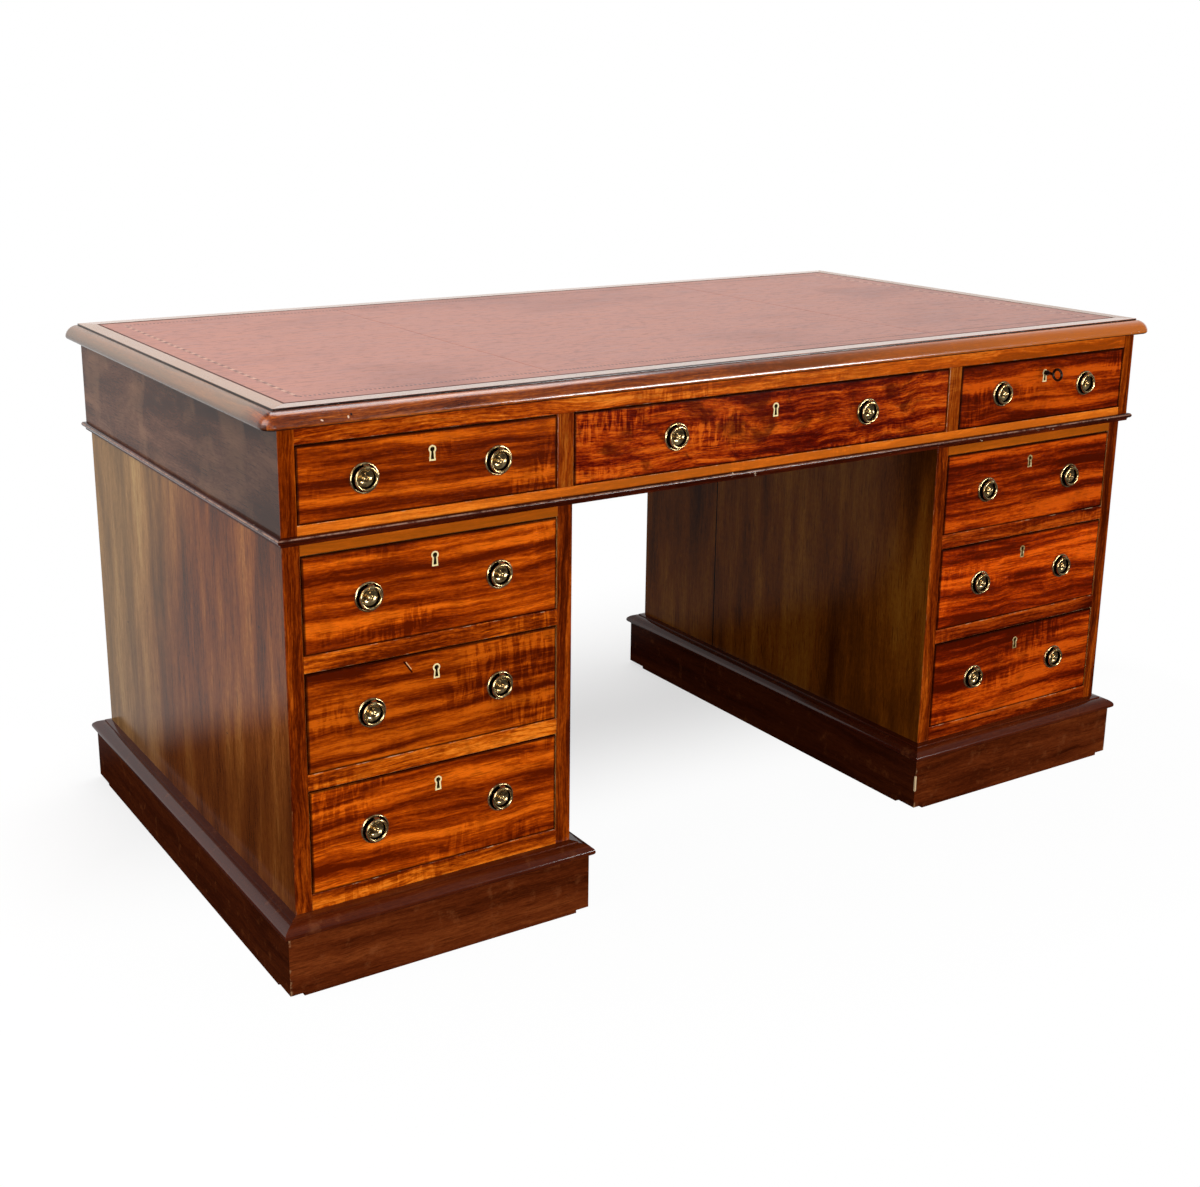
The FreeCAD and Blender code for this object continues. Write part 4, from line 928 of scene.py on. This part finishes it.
@dataclass
class UpperCase:
    """The upper case: ends, back, front frame, runners and bead."""

    end: float = 22 * MM
    bay: tuple[float, float] = (628.5 * MM, 728.5 * MM)
    crest: float = 9.8 * MM

    def dress(self) -> None:
        """Give the upper case its finishes."""
        low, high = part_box("upper_case_panels")
        finish = WoodFinish("upper_case_side_wood", Polish.COATED)
        bench = finish.bench
        ends = abs(bench.x).rise(high.x - self.end - HAIR, high.x - self.end + HAIR)
        outside = abs(bench.x).rise(high.x - 0.001, high.x - 0.0005)
        finish.lay(FADED_AND_SHEEN, Grain.X, 8.0).lay(FRIEZE_END, Grain.Y, 9.0, ends)
        # Painted shade: the frieze ends darken towards the front.
        finish.stain(ends * bench.y.rise(0.1, -0.35) * 0.5, "20120c")
        front = bench.y.rise(low.y + 0.0012, low.y + 0.0008)
        finish.lay(STILE, Grain.Z, 2.0, front)
        finish.coat = outside * 0.36
        dress("upper_case_panels", finish.wear_and_glint("8a5a34").done())
        low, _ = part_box("upper_case_front_frame")
        finish = WoodFinish("frieze_frame_wood", Polish.FRENCH)
        bench = finish.bench
        foot, head = self.bay
        bays = bench.z.rise(foot - HAIR, foot + HAIR) * bench.z.rise(head + HAIR, head - HAIR)
        vector = bench.blend_vectors(bays, Wood.along(bench, Grain.X), Wood.along(bench, Grain.Z))
        finish.lay(GLOW, vector, 4.0).stain(bench.x.rise(-0.5, 0.3) * (1.0 - bays) * 0.35, "c85e0e")
        # Painted light: the frieze frame's bottom rail is painted brighter.
        finish.stain(bench.z.rise(foot + HAIR, foot - HAIR) * 0.4, "d8741c")
        finish.stain(bays * 0.6, "4a1602").wear_and_glint("d8b48c")
        finish.lay(PINE, Grain.X, 6.0, bench.y.rise(low.y + FACING, low.y + FACING + 0.5 * MM))
        dress("upper_case_front_frame", finish.done())
        dress("upper_case_runners", WoodFinish("runner_pine", Polish.RAW).lay(PINE, Grain.Y, 7.0).done())
        low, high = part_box("upper_case_bead")
        finish = WoodFinish("bead_wood", Polish.FRENCH)
        bench = finish.bench
        _, vector = Wood.mitred(bench, (high.x, high.y))
        # Painted highlight: a broken pale line along the bead's crest, and pale specks that are partly chips,
        # partly painted glints.
        chips_and_glints = bench.clouds(bench.scale(bench.place, (70.0, 70.0, 70.0)), 4.0, 0.7)
        crest = abs(bench.z - (low.z + self.crest)).rise(0.0012, 0.0004) * chips_and_glints.rise(0.3, 0.6)
        finish.lay(BEAD, vector, 11.0).stain(crest * 0.8, "9a7460").stain(chips_and_glints.rise(0.68, 0.72), "d8c0a4")
        finish.coat = bench.z.rise(low.z + 0.004, low.z + 0.006) * 0.6
        dress("upper_case_bead", finish.done())


@dataclass
class Pedestal:
    """One pedestal: case, drawer frame and plinth."""

    word: str
    side: int
    seed: float
    rail: WoodTone
    marks: tuple[Mark, ...] = ()
    chip: Union[Mark, None] = None
    joint: float = 164.5 * MM
    wall: float = 23.5 * MM
    back: float = 18 * MM
    plinth_stand: float = 27 * MM
    moulding: float = 20 * MM

    def dress(self) -> None:
        """Give the pedestal its finishes."""
        name = f"{self.word}_pedestal_case"
        low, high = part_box(name)
        middle = (low.x + high.x) / 2
        half = (high.x - low.x) / 2
        finish = WoodFinish(f"{name}_wood", Polish.COATED)
        bench = finish.bench
        across = (bench.x - middle) * float(self.side)
        up = (bench.z - low.z) / (high.z - low.z)
        rear = (bench.y - low.y) / (high.y - low.y)
        # Painted shade: the case darkens towards the bottom.
        finish.lay(RICH, Grain.Z, self.seed).stain(up.rise(0.55, 0.2) * 0.5, "461c00")
        # A paler, faded wood over the upper back, which also paints the sheen of the bright background there.
        finish.lay(FADED_AND_SHEEN, Grain.Z, self.seed, (rear + up * 0.3).rise(0.6, 1.1))
        board = -half + self.wall / 2
        knee = across.rise(board, board - 0.001)
        finish.lay(OLIVE, Grain.Z, self.seed + 1.3, knee)
        # Painted shade: the kneehole side darkens towards the front and the floor.
        finish.stain(knee * bench.y.rise(0.05, -0.38).most(up.rise(0.14, 0.0)) * 0.25, "2e1001")
        inside = abs(bench.x - middle).rise(half - self.wall + 2 * HAIR, half - self.wall + HAIR)
        inside = inside * bench.y.rise(high.y - self.back + HAIR, high.y - self.back - HAIR)
        finish.lay(PINE, Grain.Y, self.seed + 2.1, inside)
        front = bench.y.rise(low.y + 0.0016, low.y + 0.001)
        vector = bench.blend_vectors(inside, Wood.along(bench, Grain.Z), Wood.along(bench, Grain.X))
        # Painted light: the fronts of the case's top and bottom boards are painted brighter.
        finish.lay(STILE, vector, self.seed + 3.7, front).stain(front * inside * 0.4, "c86a14")
        outside = across.rise(half - 0.001, half - 0.0005)
        finish.coat = outside * 0.24 + 0.12
        finish.stain(abs(bench.y - self.joint).rise(0.0018, 0.0009) * across.rise(0.0, -0.001), "0c0502")
        for mark in self.marks:
            finish.mark(mark)
        dress(name, finish.wear_and_glint("8a5a34").done())
        name = f"{self.word}_pedestal_drawer_frame"
        low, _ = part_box(name)
        finish = WoodFinish(f"{name}_wood", Polish.FRENCH)
        bench = finish.bench
        finish.lay(self.rail, Grain.X, self.seed + 4.4).wear_and_glint("d8b48c")
        finish.lay(PINE, Grain.X, self.seed, bench.y.rise(low.y + FACING, low.y + FACING + 0.5 * MM))
        dress(name, finish.done())
        name = f"{self.word}_plinth"
        _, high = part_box(name)
        finish = WoodFinish(f"{name}_wood", Polish.COATED)
        bench = finish.bench
        sides, vector = Wood.mitred(bench, (half + self.plinth_stand, high.y), middle)
        # Painted shade: the plinth's sides are painted darker than its front.
        finish.lay(PLINTH, vector, self.seed + 5.9).stain(sides * 0.6, "200a04")
        moulding = bench.z.rise(high.z - self.moulding - MM, high.z - self.moulding + MM)
        worn = bench.clouds(bench.scale(bench.place, (40.0, 40.0, 40.0)), 4.0, 0.7)
        corner = (1.0 - sides).least(abs(bench.x - middle).rise(half + 0.016, half + 0.0185))
        finish.stain(moulding * 0.4, "3c0e04").stain(worn.rise(0.55, 0.75) * 0.3, "7a4424")
        finish.stain(corner * (1.0 - moulding) * worn.rise(0.5, 0.65) * 0.7, "a07c58")
        finish.coat = moulding * 0.7 + 0.06
        if self.chip:
            finish.mark(self.chip)
        dress(name, finish.done())


@dataclass
class Drawer:
    """One drawer: front, box, brass and rings."""

    name: str
    tone: WoodTone
    seed: float
    depth: float = 0.0
    liner: str = "f0dca0"
    scratches: tuple[Mark, ...] = ()
    veneer: float = 3.5 * MM
    lining: float = 10 * MM

    def dress(self) -> None:
        """Give the drawer its finishes."""
        low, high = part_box(f"{self.name}_front")
        finish = WoodFinish(f"{self.name}_front_wood", Polish.FRENCH)
        bench = finish.bench
        finish.lay(self.tone, Grain.X, self.seed).stain(self.depth, "bcbcbc", "MULTIPLY")
        edge = (bench.x - low.x).least(high.x - bench.x).least((bench.z - low.z).least(high.z - bench.z))
        # Painted shade: a dark band round the edge of the front, where the gap lies.
        finish.stain(edge.rise(0.0036, 0.0012) * 0.85, "1c0500")
        for scratch in self.scratches:
            finish.mark(scratch)
        finish.lay(RAW, Grain.X, self.seed + 1.0, bench.y.rise(low.y + self.veneer, low.y + 4 * MM))
        dress(f"{self.name}_front", finish.done())
        self.dress_box()
        rings = [sum(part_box(f"{self.name}_{word}_bail"), Vector()) / 2 for word in ("left", "right")]
        brass = Brass(f"{self.name}_brass", liner=self.liner).make(low.y, rings[0], rings[1])
        for word in ("brassware", "left_bail", "right_bail"):
            dress(f"{self.name}_{word}", brass)

    def dress_box(self) -> None:
        """Give the drawer's box its lining."""
        low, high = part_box(f"{self.name}_box")
        finish = WoodFinish(f"{self.name}_lining", Polish.RAW)
        bench = finish.bench
        walls = (bench.x - low.x).least(high.x - bench.x).rise(self.lining + 0.1 * MM, self.lining - 0.1 * MM)
        vector = bench.blend_vectors(walls, Wood.along(bench, Grain.X), Wood.along(bench, Grain.Y))
        dress(f"{self.name}_box", finish.lay(OAK, vector, self.seed).done())


def pedestals() -> list[Pedestal]:
    """The two pedestals; the left one's outer side has three nail holes."""
    spots = ((-0.7555, 0.2612, 0.317), (-0.7555, -0.3042, 0.4748), (-0.7555, -0.1664, 0.2803))
    holes = tuple(Mark(spot, spot, 2.2 * MM, "0a0503") for spot in spots)
    chip = Mark((0.317, -0.41, 0.058), (0.317, -0.41, 0.036), 3.5 * MM, "c4aa84")
    return [Pedestal("left", -1, 12.0, RAIL, holes), Pedestal("right", 1, 17.0, DUSK, (), chip)]


def drawers() -> list[Drawer]:
    """The nine drawers with their own cuts of mahogany."""
    scratches = (
        Mark((-0.5934, -0.39, 0.4238), (-0.5822, -0.39, 0.4079), 1.5 * MM, "240a04"),
        Mark((-0.5905, -0.39, 0.4228), (-0.5830, -0.39, 0.4120), 0.7 * MM, "d0a070"),
    )
    return [
        Drawer("frieze_left_drawer", FIERY, 1.9, 0.2),
        Drawer("frieze_centre_drawer", FLAME, 2.7, 0.2),
        Drawer("frieze_right_drawer", RUDDY, 3.6, 0.5),
        Drawer("left_upper_drawer", FIERY, 4.7),
        Drawer("left_middle_drawer", FIERY, 5.6, 0.55, scratches=scratches),
        Drawer("left_lower_drawer", FIERY, 6.5),
        Drawer("right_upper_drawer", RUDDY, 7.8, 0.45, "8a7040"),
        Drawer("right_middle_drawer", RUDDY, 8.7, 0.0, "8a7040"),
        Drawer("right_lower_drawer", RUDDY, 9.6, 0.45, "8a7040"),
    ]


def main() -> None:
    """Build the studio and dress the desk, piece by piece."""
    Studio().build()
    WritingLeather().build()
    Top().dress()
    UpperCase().dress()
    for pedestal in pedestals():
        pedestal.dress()
    for drawer in drawers():
        drawer.dress()
    metal = iron()
    dress("drawer_key", metal)
    dress("frieze_right_drawer_sliding_bolt", metal)


if __name__ == "__main__":
    main()
